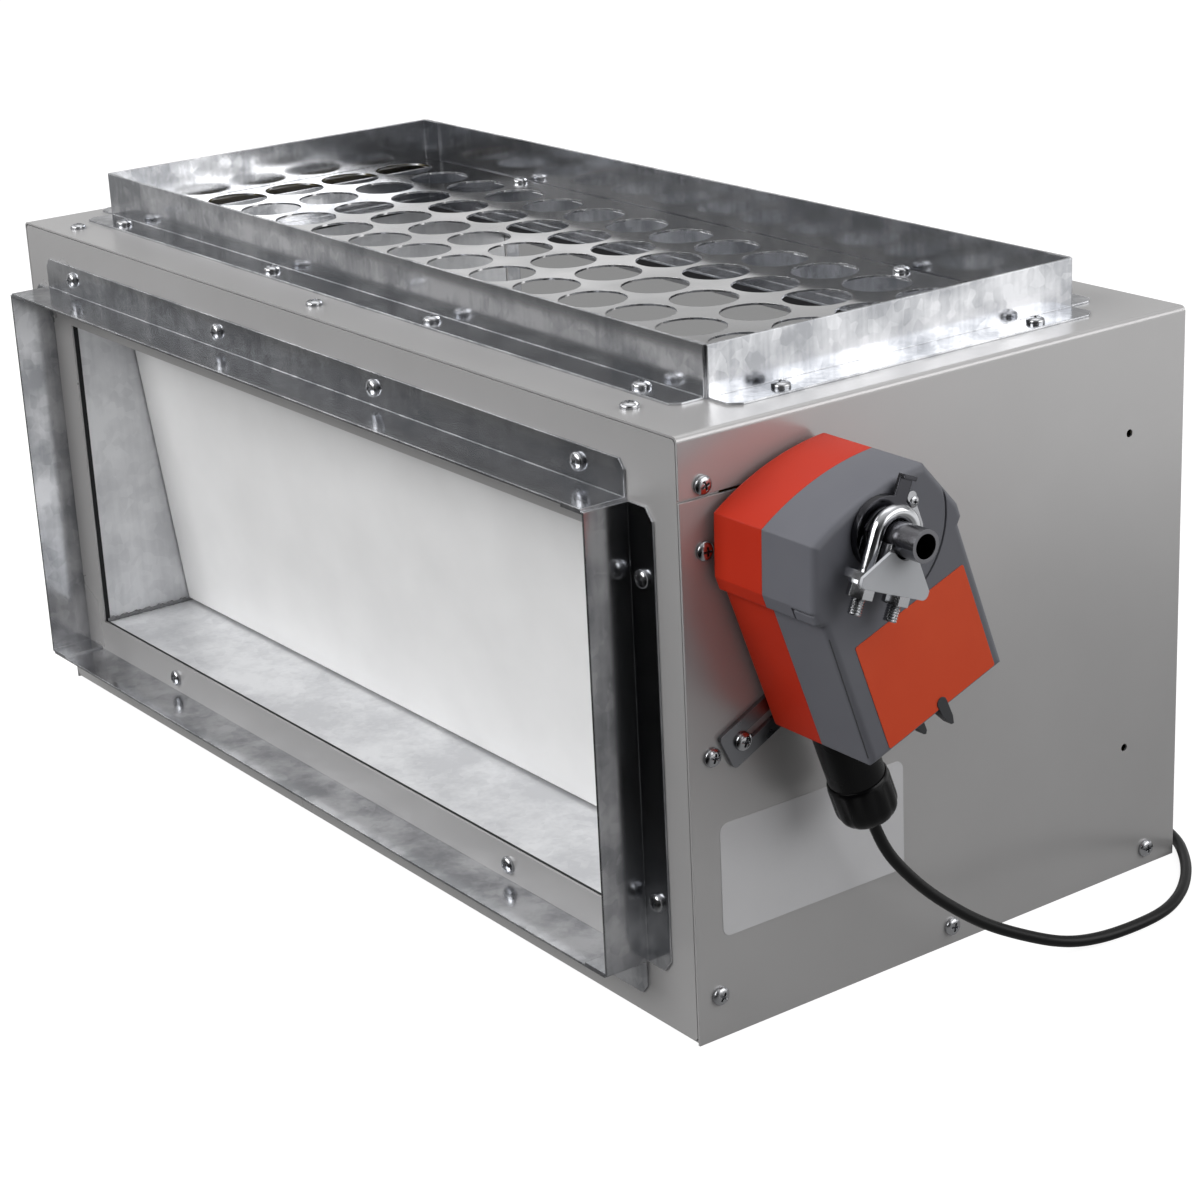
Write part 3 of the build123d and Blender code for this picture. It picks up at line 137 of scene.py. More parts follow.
def place(tree, stretch=(1, 1, 1)):
    """Coordinates in metres on the object, stretched along chosen axes."""
    where = add_node(tree, "ShaderNodeTexCoord").outputs["Object"]
    return add_node(tree, "ShaderNodeMapping", {"Vector": where, "Scale": stretch}).outputs["Vector"]


def noise(tree, where, size_mm, detail=3.0, rough=0.5):
    """Cloudy noise whose clouds are about size_mm across."""
    inputs = {"Vector": where, "Scale": per_metre(size_mm), "Detail": detail, "Roughness": rough}
    return add_node(tree, "ShaderNodeTexNoise", inputs).outputs["Fac"]


def calculate(tree, operation, first, second):
    """One sum on two numbers."""
    return add_node(tree, "ShaderNodeMath", {0: first, 1: second}, operation=operation).outputs["Value"]


def between(tree, factor, low, high, start=0.0, end=1.0):
    """A number that runs from low to high as the factor runs from start to end."""
    inputs = {"Value": factor, "From Min": start, "From Max": end, "To Min": low, "To Max": high}
    return add_node(tree, "ShaderNodeMapRange", inputs).outputs["Result"]


def two_tone(tree, factor, dark, light, start=0.3, end=0.7):
    """A colour that runs from one hex colour to another as the factor rises."""
    node = add_node(tree, "ShaderNodeValToRGB", {"Fac": factor})
    first, last = node.color_ramp.elements
    first.position, first.color = start, linear(dark)
    last.position, last.color = end, linear(light)
    return node.outputs["Color"]


print("25 mm fits", per_metre(25), "times in a metre")

# %% [markdown]
# Real edges are a little round. Rounding them in the mesh would take a great many faces, so a bevel in
# the shader bends the normal near each edge, and small relief goes on top of it as bump.

# %% Edges, relief and the end of a material
BEVEL_SAMPLES = 4


def soft_edges(tree, radius_mm):
    """A normal that rounds off the edges of a sheet, as a real cut or folded edge is."""
    inputs = {"Radius": radius_mm * MM}
    return add_node(tree, "ShaderNodeBevel", inputs, samples=BEVEL_SAMPLES).outputs["Normal"]


def bumped(tree, height, depth_mm, normal):
    """Adds the small relief of a height pattern to a normal."""
    inputs = {"Height": height, "Distance": depth_mm * MM, "Strength": 1.0, "Normal": normal}
    return add_node(tree, "ShaderNodeBump", inputs).outputs["Normal"]


def surface(tree, inputs):
    """Ends a material with one principled surface."""
    shader = add_node(tree, "ShaderNodeBsdfPrincipled", inputs)
    add_node(tree, "ShaderNodeOutputMaterial", {"Surface": shader.outputs["BSDF"]})


print("samples of a soft edge", BEVEL_SAMPLES)

# %% [markdown]
# ## Sheet metal
#
# The cabinet is made of satin coated galvanised sheet: a zinc coat that was annealed or primed so that
# it turned an even, silky grey. It could be a plain grey paint, but then it would lose the soft sheen
# that runs over the panels, so it is a half metallic surface with a very faint cloud and a fine grain.

# %% Satin coated sheet
SATIN_CLOUD_MM = 90
SATIN_GRAIN_MM, SATIN_GRAIN_DEPTH_MM = 0.7, 0.006
SATIN_EDGE_MM = 0.25


def satin_coated_sheet():
    """Satin galvanised cabinet sheet: even silver grey with a faint cloud and a fine grain."""
    material, tree = new_material("satin_coated_sheet")
    where = place(tree)
    cloud = noise(tree, where, SATIN_CLOUD_MM, 4)
    grain = noise(tree, where, SATIN_GRAIN_MM, 2)
    inputs = {
        "Base Color": two_tone(tree, cloud, "#b8b7b7", "#bebdbd"),
        "Metallic": 0.4,
        "Roughness": between(tree, cloud, 0.26, 0.3),
        "Normal": bumped(tree, grain, SATIN_GRAIN_DEPTH_MM, soft_edges(tree, SATIN_EDGE_MM)),
    }
    surface(tree, inputs)
    return material


materials = {"satin_sheet": satin_coated_sheet()}
print("cabinet", materials["satin_sheet"].name)

# %% [markdown]
# The collars and the duct liner are hot dip galvanised. Molten zinc freezes in crystals, the spangle,
# and on modern sheet they are small and soft: the eye sees a bright metal with dull grey clouds and a
# few drag marks. Voronoi cells give each crystal its own grey, and noise gives the clouds. The sheet is
# never quite flat either, and a low wave bends what it mirrors.

# %% Galvanised sheet
SPANGLE_MM, SPANGLE_SHADE = 5.0, 0.05
DRAG_MARK_MM, DRAG_MARK_SHADE = 2.6, 0.08
DRAG_STRETCH = (1, 1, 0.05)
WAVE_MM, WAVE_DEPTH_MM = 110.0, 0.5
FOLD_RADIUS_MM = 0.7


def galvanised_sheet(name, dark, light, cloud_mm, low_roughness, high_roughness, metallic=1.0):
    """Hot dip galvanised sheet: crystals of zinc under soft clouds, drag marks, and a slight wave."""
    material, tree = new_material(name)
    where = place(tree)
    cloud = noise(tree, where, cloud_mm, 4)
    cells = {"Vector": where, "Scale": per_metre(SPANGLE_MM)}
    crystals = add_node(tree, "ShaderNodeTexVoronoi", cells).outputs["Color"]
    grey = add_node(tree, "ShaderNodeSeparateColor", {"Color": crystals}).outputs["Red"]
    drag = noise(tree, place(tree, DRAG_STRETCH), DRAG_MARK_MM, 1)
    crystal_shade = between(tree, grey, -SPANGLE_SHADE, SPANGLE_SHADE)
    mark_shade = between(tree, drag, -DRAG_MARK_SHADE, DRAG_MARK_SHADE)
    mixed = calculate(tree, "ADD", cloud, calculate(tree, "ADD", crystal_shade, mark_shade))
    wave = noise(tree, where, WAVE_MM, 1)
    inputs = {
        "Base Color": two_tone(tree, mixed, dark, light, 0.36, 0.64),
        "Metallic": metallic,
        "Roughness": between(tree, mixed, high_roughness, low_roughness, 0.3, 0.7),
        "Normal": bumped(tree, wave, WAVE_DEPTH_MM, soft_edges(tree, FOLD_RADIUS_MM)),
    }
    surface(tree, inputs)
    return material


# The collars are bare zinc: they mirror the room in dark and light bands.
materials["galvanised"] = galvanised_sheet("galvanised_sheet", "#abadb1", "#e2e3e6", 28, 0.13, 0.22)
# The zinc inside the duct has dulled: it is pale and even, and mirrors little.
materials["liner"] = galvanised_sheet("galvanised_liner", "#d2d3d6", "#ecedef", 35, 0.28, 0.4, metallic=0.4)
print("galvanised sheets", materials["galvanised"].name, materials["liner"].name)

# %% [markdown]
# Screws, shaft, clamp and the perforated plate are bright metal, bare or plated. One recipe serves for
# all: a single colour, and a polish that varies a little from place to place, as tools and hands leave
# it. A perfectly even polish would look like glass.

# %% Bright metals


def bright_metal(name, colour, low_roughness, high_roughness, cloud_mm, edge_mm=0.2):
    """A bright bare or plated metal with a slightly uneven polish."""
    material, tree = new_material(name)
    cloud = noise(tree, place(tree), cloud_mm, 3)
    inputs = {
        "Base Color": linear(colour),
        "Metallic": 1.0,
        "Roughness": between(tree, cloud, low_roughness, high_roughness, 0.35, 0.65),
        "Normal": soft_edges(tree, edge_mm),
    }
    surface(tree, inputs)
    return material


# Each finish: its name, colour, lowest and highest roughness, and the sizes of its cloud and edge in mm.
BRIGHT_METALS = {
    # Sheet from polished rolls, punched: a dull mirror with a thin bright line at each hole.
    "bright_plate": ("bright_punched_sheet", "#e2e2e3", 0.09, 0.16, 60, 0.15),
    # Zinc plate on screws: bluish white, with a small sparkle that changes from head to head.
    "zinc": ("zinc_plated_screw", "#b9babd", 0.16, 0.3, 6),
    # Tube drawn through a die: dark and smooth, with one long highlight.
    "shaft_steel": ("drawn_steel_tube", "#77777b", 0.14, 0.26, 12),
    # Nickel plate on the clamp: bright, with small sharp highlights.
    "bright_clamp": ("nickel_plated_clamp", "#c4c5c8", 0.1, 0.24, 8),
    # The clamp's disc, painted dark as a painted dark reflection: so dark that only its rounded rim catches
    # light.
    "dark_steel": ("steel_disc_painted_dark", "#4a4a4e", 0.12, 0.22, 10, 0.7),
    # Zinc that has weathered on the strap: grey, with broad highlights.
    "dark_zinc": ("dull_zinc_strap", "#8c8d91", 0.26, 0.4, 10),
    # Milled steel, turned brass and a blued strip: the works inside the actuator.
    "gear_steel": ("machined_steel", "#8d8e92", 0.25, 0.4, 10),
    "gear_brass": ("machined_brass", "#c9a24c", 0.22, 0.35, 10),
    "spring_steel": ("blued_spring_strip", "#4c5468", 0.25, 0.4, 10),
}
for slot, finish in BRIGHT_METALS.items():
    materials[slot] = bright_metal(*finish)
print("materials so far", len(materials))

# %% [markdown]
# ## Painted, moulded and printed surfaces
#
# The blade has a white coil coating, which is a smooth satin polyester film. The actuator is moulded in
# ABS plastic with a spark eroded grain of about a third of a millimetre, so it has a broad soft highlight
# and no sharp reflections. Its labels are smooth plastic film. One recipe does for all: a faint cloud in
# the colour, and the grain as bump.

# %% Coatings, plastics and films
COATING_CLOUD_MM = 40


def satin_plastic(name, dark, light, roughness, grain_mm, grain_depth_mm, ior=1.5, edge_mm=0.4):
    """A coated or moulded surface: faint colour cloud, grain from the mould, soft edges."""
    material, tree = new_material(name)
    where = place(tree)
    cloud = noise(tree, where, COATING_CLOUD_MM, 3)
    grain = noise(tree, where, grain_mm, 2)
    inputs = {
        "Base Color": two_tone(tree, cloud, dark, light),
        "Roughness": between(tree, cloud, roughness - 0.03, roughness + 0.05, 0.3, 0.7),
        "IOR": ior,
        "Normal": bumped(tree, grain, grain_depth_mm, soft_edges(tree, edge_mm)),
    }
    surface(tree, inputs)
    return material


# Each finish: its name, dark and light colour, roughness, grain width and depth in mm, IOR and edge in mm.
PLASTICS = {
    # Polyester baked on the coil: a smooth white film with a soft sheen.
    "white_enamel": ("white_coil_coating", "#e8e8e8", "#efefef", 0.36, 1.2, 0.004),
    # Moulded shells: the grain of the mould scatters light, so that their colour stays deep and even.
    "orange_plastic": ("orange_moulded_abs", "#b1260d", "#b92b10", 0.46, 0.35, 0.012, 1.36, 0.9),
    "grey_plastic": ("grey_moulded_abs", "#62636a", "#68696f", 0.44, 0.35, 0.012, 1.36, 0.9),
    "dark_grey_plastic": ("dark_grey_moulded_abs", "#2c2d30", "#333438", 0.45, 0.35, 0.01),
    # Stamped and painted pointer: a flat, pale grey.
    "indicator_grey": ("grey_pointer_plate", "#b6b8bc", "#c0c2c6", 0.42, 0.5, 0.004),
    # Cast plastic film: smoother than what it sticks to, with hardly any relief.
    "orange_label": ("orange_label_film", "#d0431c", "#d64a22", 0.4, 2.0, 0.002, 1.4, 0.1),
    "white_label": ("white_label_film", "#cdcdcf", "#d3d3d5", 0.4, 2.0, 0.003, 1.5, 0.1),
    # Moulded nylon: black with a tight highlight on each flute, or in its natural milky white.
    "black_nylon": ("black_moulded_nylon", "#040405", "#070708", 0.25, 0.4, 0.01, 1.3),
    "bush_nylon": ("natural_nylon", "#cfccc0", "#dad7cc", 0.45, 0.5, 0.005),
    # Extruded jackets: soft plastic with a dull shine along the cord.
    "black_cord": ("black_cord_jacket", "#060607", "#0a0a0b", 0.36, 0.6, 0.01, 1.35),
    "wire_core": ("red_wire_jacket", "#8c1d18", "#98241e", 0.4, 0.6, 0.004),
    # Foamed sheet and board: matt, with the dimples of their cells.
    "foam": ("closed_cell_foam", "#1d1d1f", "#29292c", 0.85, 0.8, 0.15),
    "foam_board": ("white_foam_board", "#dad8cf", "#e4e2da", 0.8, 1.0, 0.1),
    # Solder resist on a circuit board: a glossy dark green.
    "board_green": ("green_circuit_board", "#0f4a28", "#155a32", 0.35, 1.5, 0.01),
    # The grey bead in the duct's corner: darker than the liner, with a rough skin.
    "sealant": ("grey_corner_bead_finish", "#6f7072", "#8b8c8e", 0.55, 2.0, 0.2),
}
for slot, finish in PLASTICS.items():
    materials[slot] = satin_plastic(*finish)
print("materials so far", len(materials))

# %% [markdown]
# The slabs between the cabinet and the duct are glass fibre board: yellow fibres laid flat, one over
# the other. Long thin noise in two directions stands for the fibres. A real fibre is far too fine to
# show, so these are drawn about a millimetre wide.

# %% Glass fibre
FIBRE_MM, FIBRE_DEPTH_MM = 1.2, 0.6
FIBRE_STRETCH = 0.08


def glass_fibre_board():
    """Yellow glass fibre insulation with matted fibres."""
    material, tree = new_material("glass_fibre_board")
    lengthwise = noise(tree, place(tree, (FIBRE_STRETCH, 1, 1)), FIBRE_MM, 4, 0.7)
    crosswise = noise(tree, place(tree, (1, FIBRE_STRETCH, 1)), FIBRE_MM, 4, 0.7)
    fibres = calculate(tree, "MULTIPLY", lengthwise, crosswise)
    normal = add_node(tree, "ShaderNodeNewGeometry").outputs["Normal"]
    inputs = {
        "Base Color": two_tone(tree, fibres, "#a8964a", "#e0cf86", 0.15, 0.4),
        "Roughness": 0.9,
        "Sheen Weight": 0.3,
        "Normal": bumped(tree, fibres, FIBRE_DEPTH_MM, normal),
    }
    surface(tree, inputs)
    return material


materials["glass_fibre"] = glass_fibre_board()
print("materials", len(materials))

# %% [markdown]
# ## Dress the frame
#
# The frame's record names a finish for each node, and those names are the keys of the materials. A few
# nodes get another finish: the liner has dulled, and the clamp's disc is painted dark, as a painted dark
# reflection.

# %% Dress every node of the frame
OTHER_FINISH = {
    "liner_floor": "liner",
    "liner_left": "liner",
    "liner_right": "liner",
    # The disc's dark finish stands in for a dark reflection: a painted reflection.
    "clamp_disc": "dark_steel",
}


def dress(piece, material):
    """Gives every face of a piece one material."""
    piece.data.materials.clear()
    piece.data.materials.append(material)
    return piece


slot_of = {part["node"]: part["material_slot"] for part in frame["record"]["subparts"]}
for name, node in frame["nodes"].items():
    finish = OTHER_FINISH.get(name, slot_of[name])
    dress(node, materials[finish])
print("nodes dressed", len(frame["nodes"]))

# %% [markdown]
# ## The cord
#
# The black cord leaves the gland under the actuator, sinks to the floor in one loose curve and goes
# round the corner of the box. What the photograph doesn't show is put away as a small neat coil behind
# the box. A cord is best made as one smooth curve with a round bevel: it could be a chain of cylinders,
# but those would kink at each joint. The free run is two lists of points, and a loop winds the coil.

# %% The cord's route
CORD_DIAMETER = 5.0 * MM
COIL_MIDDLE = (152.0, 174.0)
COIL_INNER, COIL_OUTER, COIL_TOP = 25.1, 30.1, 27.6
COIL_LOW_Z, COIL_HIGH_Z = 2.7, 7.6
POINTS_PER_TURN = 16

SINKING = [(302.0, -65.7, 87.88), (302.0, -60.57, 73.78), (304.2, -49.4, 58.4), (306.8, -35.4, 43.9)]
SINKING += [(310.3, -14.4, 27.2), (313.4, 5.0, 16.4), (316.6, 27.0, 6.4), (318.8, 46.0, 2.8)]
ON_FLOOR = [(320.6, 66.0), (319.4, 85.5), (312.8, 102.0), (302.6, 117.2), (289.6, 131.0), (272.0, 144.6)]
ON_FLOOR += [(250.0, 151.6), (226.0, 151.0), (200.0, 146.6), (176.0, 143.9), (157.0, 143.9)]
route = SINKING + [(x, y, COIL_LOW_Z) for x, y in ON_FLOOR]


def coil_point(turns, radius, height):
    """A point this many turns round the coil, clockwise from its front."""
    angle = -math.pi / 2 - 2 * math.pi * turns
    return (COIL_MIDDLE[0] + radius * math.cos(angle), COIL_MIDDLE[1] + radius * math.sin(angle), height)


def coil_turns(turns, radius_from, radius_to, z_from, z_to, start_turn):
    """Points of the coil, wound clockwise from its front, from one radius and height to another."""
    count = round(turns * POINTS_PER_TURN)
    points = []
    for i in range(1, count + 1):
        share = i / count
        radius = radius_from + (radius_to - radius_from) * share
        height = z_from + (z_to - z_from) * share
        points.append(coil_point(start_turn + turns * share, radius, height))
    return points


route += coil_turns(0.875, COIL_OUTER, COIL_OUTER, COIL_LOW_Z, COIL_LOW_Z, 0)
route += coil_turns(0.25, COIL_OUTER, COIL_INNER, COIL_LOW_Z, COIL_LOW_Z, 0.875)
route += coil_turns(0.75, COIL_INNER, COIL_INNER, COIL_LOW_Z, COIL_LOW_Z, 1.125)
route += coil_turns(0.25, COIL_INNER, COIL_TOP, COIL_LOW_Z, COIL_HIGH_Z, 1.875)
route += coil_turns(0.6875, COIL_TOP, COIL_TOP, COIL_HIGH_Z, COIL_HIGH_Z, 2.125)
print("cord points", len(route))

# %% [markdown]
# The curve could pass through every point, but then each small error of the list would show. A spline
# of the third order only leans towards its points and is smooth everywhere.

# %% The cord


def cord_curve(name, points, diameter):
    """A round cord along one smooth spline."""
    data = bpy.data.curves.new(name, "CURVE")
    data.dimensions = "3D"
    data.bevel_depth = diameter / 2
    data.bevel_resolution = 6
    data.resolution_u = 8
    data.use_fill_caps = True
    spline = data.splines.new("NURBS")
    spline.points.add(len(points) - 1)
    for point, (x, y, z) in zip(spline.points, points):
        point.co = (x * MM, y * MM, z * MM, 1)
    spline.order_u = 3
    spline.use_endpoint_u = True
    piece = bpy.data.objects.new(name, data)
    scene.collection.objects.link(piece)
    return piece


cord = dress(cord_curve("power_cord", route, CORD_DIAMETER), materials["black_cord"])
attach(cord, "cabinet")
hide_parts("cord_lead", "cord_coil")
print("cord", cord.name)

# %% [markdown]
# The cord ends as it comes from the maker: the jacket is stripped and two wires stick out, ready for
# the installer. They lie on the coil and follow its last turn.

# %% The bare ends
WIRE_DIAMETER = 1.8 * MM
WIRE_GAP = 1.08
WIRE_START, WIRE_TURNS = 2.8333, 50 / 360
WIRE_START_Z, WIRE_END_Z = 6.6, 6.2
WIRE_POINTS = 5
for side, side_name in ((-1, "inner"), (1, "outer")):
    radius = COIL_TOP + side * WIRE_GAP
    points = [coil_point(WIRE_START, radius, WIRE_START_Z)]
    for i in range(1, WIRE_POINTS + 1):
        points.append(coil_point(WIRE_START + WIRE_TURNS * i / WIRE_POINTS, radius, WIRE_END_Z))
    wire = dress(cord_curve(f"stripped_wire_{side_name}", points, WIRE_DIAMETER), materials["wire_core"])
    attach(wire, "cabinet")
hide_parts("cord_wires")

# %% [markdown]
# ## Helpers for meshes
#
# Small turned and bent pieces are made in code: a profile is turned round an axis, or a ring is carried
# along a path. Then one function makes the object, and smooths it where its faces meet at a small angle.
# They could be modelled by hand, but code keeps each size a named value.

# %% Mesh helpers
SMOOTH_ANGLE = math.radians(32)


def mesh_object(name, vertices, faces, weld=0.0):
    """An object from points in metres: its faces look outward, and points closer than weld are joined."""
    mesh = bpy.data.meshes.new(name)
    mesh.from_pydata([tuple(v) for v in vertices], [], faces)
    work = bmesh.new()
    work.from_mesh(mesh)
    if weld:
        bmesh.ops.remove_doubles(work, verts=work.verts, dist=weld)
    bmesh.ops.recalc_face_normals(work, faces=work.faces)
    work.to_mesh(mesh)
    work.free()
    piece = bpy.data.objects.new(name, mesh)
    scene.collection.objects.link(piece)
    return piece


def make_piece(name, vertices, faces, body, finish, slot=None):
    """A visible piece: smoothed, dressed and riding on a body."""
    piece = mesh_object(name, vertices, faces)
    for polygon in piece.data.polygons:
        polygon.use_smooth = True
    piece.data.set_sharp_from_angle(angle=SMOOTH_ANGLE)
    dress(piece, materials[finish])
    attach(piece, body)
    return piece


def joined(parts):
    """Several lists of vertices and faces as one."""
    vertices, faces = [], []
    for more_vertices, more_faces in parts:
        offset = len(vertices)
        vertices += more_vertices
        faces += [tuple(i + offset for i in face) for face in more_faces]
    return vertices, faces


def ring_faces(rings, sides):
    """The faces between rings of vertices that follow one another."""
    faces = []
    for row in range(rings - 1):
        for i in range(sides):
            a, b = row * sides + i, row * sides + (i + 1) % sides
            faces.append((a, b, b + sides, a + sides))
    return faces


def axes_at(origin, x_axis, z_axis):
    """The place of a local frame: its origin in metres, its X and its Z axis."""
    x_axis, z_axis = Vector(x_axis).normalized(), Vector(z_axis).normalized()
    y_axis = z_axis.cross(x_axis)
    turn = Matrix((x_axis, y_axis, z_axis)).transposed()
    return Matrix.Translation(Vector(origin)) @ turn.to_4x4()


def box_middle(node_name):
    """The middle of a node's box in millimetres, to a hundredth."""
    low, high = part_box(node_name)
    return Vector([round((a + b) / (2 * MM), 2) for a, b in zip(low, high)])


print("edges stay sharp above", round(math.degrees(SMOOTH_ANGLE)), "degrees")

# %% [markdown]
# ## The screws
#
# Pan head sheet metal screws hold everything together. Each one has a domed head and a cross recess.
# The recess could be painted on with a texture, but the eye reads it by the light on its walls, so it
# is cut for real: a dome is turned once, a cross shaped cutter is taken out of it, and copies go to
# every place where the frame has a screw.

# %% The dome of a screw
HEAD_RADIUS, HEAD_HEIGHT = 4.0, 2.6
HEAD_SIDES = 40
RIM_SHARE = 0.3
DOME_STEPS, DOME_FULLNESS = 8, 0.8
AXIS_RADIUS = 0.001


def turned(profile, steps):
    """A profile of (radius, height) in millimetres turned about the Z axis."""
    vertices, faces = [], []
    for i in range(steps):
        angle = 2 * math.pi * i / steps
        for radius, height in profile:
            vertices.append(Vector((radius * math.cos(angle), radius * math.sin(angle), height)) * MM)
    rows = len(profile)
    for i in range(steps):
        for j in range(rows - 1):
            here, ahead = i * rows + j, ((i + 1) % steps) * rows + j
            faces.append((here, here + 1, ahead + 1, ahead))
    return vertices, faces


def dome_profile(radius, height):
    """The outline of a pan head: a straight rim under a full round dome."""
    dome = [(AXIS_RADIUS, 0), (radius, 0), (radius, height * RIM_SHARE)]
    for i in range(1, DOME_STEPS):
        angle = math.radians(90 * i / DOME_STEPS)
        lift = RIM_SHARE + (1 - RIM_SHARE) * math.sin(angle)
        dome.append((radius * math.cos(angle) ** DOME_FULLNESS, height * lift))
    dome.append((AXIS_RADIUS, height))
    return dome


print("points of the dome", len(dome_profile(HEAD_RADIUS, HEAD_HEIGHT)))

# %% [markdown]
# The cutter is two crossed bars that taper towards the bottom, as the driver's tip does. A boolean
# modifier takes them out of the dome, and its result is read back as plain vertices and faces.

# %% Cut the cross
CROSS_TOP_HALF = (2.484, 0.589)
CROSS_FLOOR_HALF = (1.38, 0.38)
CROSS_DEPTH = 1.9
CUTTER_RISE = 1.0
WELD = 1e-7


def cross_bar(angle):
    """One bar of the cross recess, wider at the top than at the bottom."""
    turn_bar = Matrix.Rotation(angle, 4, "Z")
    vertices = []
    for z, (length, width) in (
        (HEAD_HEIGHT + CUTTER_RISE, CROSS_TOP_HALF),
        (HEAD_HEIGHT - CROSS_DEPTH, CROSS_FLOOR_HALF),
    ):
        for x, y in ((-length, -width), (length, -width), (length, width), (-length, width)):
            vertices.append((turn_bar @ Vector((x, y, z))) * MM)
    return vertices, [(3, 2, 1, 0), (4, 5, 6, 7)] + ring_faces(2, 4)


def screw_template(name, radius, height, cross_scale):
    """The domed head with its cross recess, as vertices and faces about the origin."""
    head = mesh_object(name, *turned(dome_profile(radius, height), HEAD_SIDES), WELD)
    lift = Matrix.Translation((0, 0, (height - HEAD_HEIGHT) * MM))
    cutters = []
    for angle in (0, math.pi / 2):
        vertices, faces = cross_bar(angle)
        scaled = [lift @ Vector((v.x * cross_scale, v.y * cross_scale, v.z)) for v in vertices]
        cutter = mesh_object("cutter", scaled, faces, WELD)
        modifier = head.modifiers.new("cut", "BOOLEAN")
        modifier.object = cutter
        modifier.operation = "DIFFERENCE"
        cutters.append(cutter)
    cut = head.evaluated_get(bpy.context.evaluated_depsgraph_get()).to_mesh()
    vertices = [v.co.copy() for v in cut.vertices]
    faces = [tuple(p.vertices) for p in cut.polygons]
    for piece in cutters + [head]:
        bpy.data.objects.remove(piece)
    return vertices, faces


head_shape = screw_template("head", HEAD_RADIUS, HEAD_HEIGHT, 1.0)
print("screw head faces", len(head_shape[1]))

# %% [markdown]
# The frame says where each screw is. Every screw is one loose part of its node's mesh: it is longest
# along its own axis, and its wide end is its head.

# %% Find the screws
# Points further than this from a screw's axis belong to its head.
HEAD_BEYOND = 3.5


def loose_parts(node):
    """The vertices of each separate solid in a node."""
    mesh = node.data
    parent = list(range(len(mesh.vertices)))

    def root(i):
        while parent[i] != i:
            parent[i] = parent[parent[i]]
            i = parent[i]
        return i

    by_place = {}
    for vertex in mesh.vertices:
        key = tuple(round(c * 1e6) for c in vertex.co)
        first = by_place.setdefault(key, vertex.index)
        parent[root(vertex.index)] = root(first)
    for edge in mesh.edges:
        parent[root(edge.vertices[0])] = root(edge.vertices[1])
    groups = {}
    for vertex in mesh.vertices:
        groups.setdefault(root(vertex.index), []).append(vertex.co.copy())
    return list(groups.values())


def off_axis(point, middle, axis):
    """How far a point lies from the axis through the middle."""
    away = point - middle
    away[axis] = 0
    return away.length


def screw_seat(points):
    """Where a screw's head sits, and the direction it faces."""
    low = Vector([min(p[i] for p in points) for i in range(3)])
    high = Vector([max(p[i] for p in points) for i in range(3)])
    size, middle = high - low, (low + high) / 2
    axis = max(range(3), key=lambda i: size[i])
    wide = [p[axis] for p in points if off_axis(p, middle, axis) > HEAD_BEYOND * MM]
    at_high = abs(max(wide) - middle[axis]) > abs(min(wide) - middle[axis])
    outward = Vector((0, 0, 0))
    outward[axis] = 1.0 if at_high else -1.0
    end = high[axis] if at_high else low[axis]
    seat = middle.copy()
    seat[axis] = end - outward[axis] * HEAD_HEIGHT * MM
    return seat, outward


print("screws on the plate", len(loose_parts(frame["nodes"]["plate_screws"])))

# %% [markdown]
# A driver leaves every cross at another angle. Each copy of the head is spun further than the last one,
# which looks random and stays the same in every run.

# %% Put the heads in their places
SCREW_NODES = ("front_collar_screws", "top_collar_screws", "rear_collar_screws", "side_screws")
SCREW_NODES += ("top_edge_screws", "floor_screws", "plate_screws", "strap_screw")
SPIN_PER_NODE, SPIN_PER_SCREW = 0.4, 1.9


def screws_for(node_name, first_turn):
    """Detailed heads for every screw of one node, each turned a little differently; how many they are."""
    parts = []
    for i, points in enumerate(loose_parts(frame["nodes"][node_name])):
        seat, outward = screw_seat(points)
        side = Vector((0, 0, 1)) if abs(outward.z) < 0.5 else Vector((1, 0, 0))
        spin = Matrix.Rotation(first_turn + i * SPIN_PER_SCREW, 4, "Z")
        at = axes_at(seat, side, outward) @ spin
        parts.append(([at @ v for v in head_shape[0]], head_shape[1]))
    piece = make_piece(f"{node_name}_heads", *joined(parts), "cabinet", "zinc")
    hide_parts(node_name)
    return len(parts)


screw_count = sum(screws_for(name, SPIN_PER_NODE * i) for i, name in enumerate(SCREW_NODES))
print("screws", screw_count)

# %% [markdown]
# The little stop clip beside the shaft has a screw of its own. The frame has its head as a plain round
# boss, so a smaller dome with the same kind of cross is set over the boss.

# %% The stop clip's screw
CLIP_SCREW_RADIUS, CLIP_SCREW_HEIGHT = 2.5, 1.9
CLIP_SCREW_Y, CLIP_SCREW_Z = -76.9, 230.6
CLIP_SCREW_SINK = 1.2
CLIP_SCREW_SIDE = (0, 0.3, 1)
CLIP_CROSS_SCALE = 0.55
small_head = screw_template("small_head", CLIP_SCREW_RADIUS, CLIP_SCREW_HEIGHT, CLIP_CROSS_SCALE)
clip_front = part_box("stop_clip")[1].x
seat = Vector((clip_front - CLIP_SCREW_SINK * MM, CLIP_SCREW_Y * MM, CLIP_SCREW_Z * MM))
at = axes_at(seat, CLIP_SCREW_SIDE, (1, 0, 0))
make_piece("stop_clip_screw", [at @ v for v in small_head[0]], small_head[1], "cabinet", "zinc")
print("small head faces", len(small_head[1]))

# %% [markdown]
# ## Small forms of the actuator and the duct mouth
#
# Two latch hooks reach over the lower edge of the cover. Their dark grey is partly painted shade. A
# dark strip of painted shade for a fine groove follows its left edge. They are thin prisms, drawn on the
# actuator's own face: u runs across it and v up it, from its label's middle.

# %% The actuator's face
ACTUATOR_TURN = math.radians(20)
LABEL_MIDDLE = box_middle("actuator_label") * Vector((0, 1, 1))
ACROSS_FACE = Vector((0, math.cos(ACTUATOR_TURN), math.sin(ACTUATOR_TURN)))
UP_FACE = Vector((0, -math.sin(ACTUATOR_TURN), math.cos(ACTUATOR_TURN)))
COVER_FRONT = round(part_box("actuator_cover")[1].x / MM, 2)


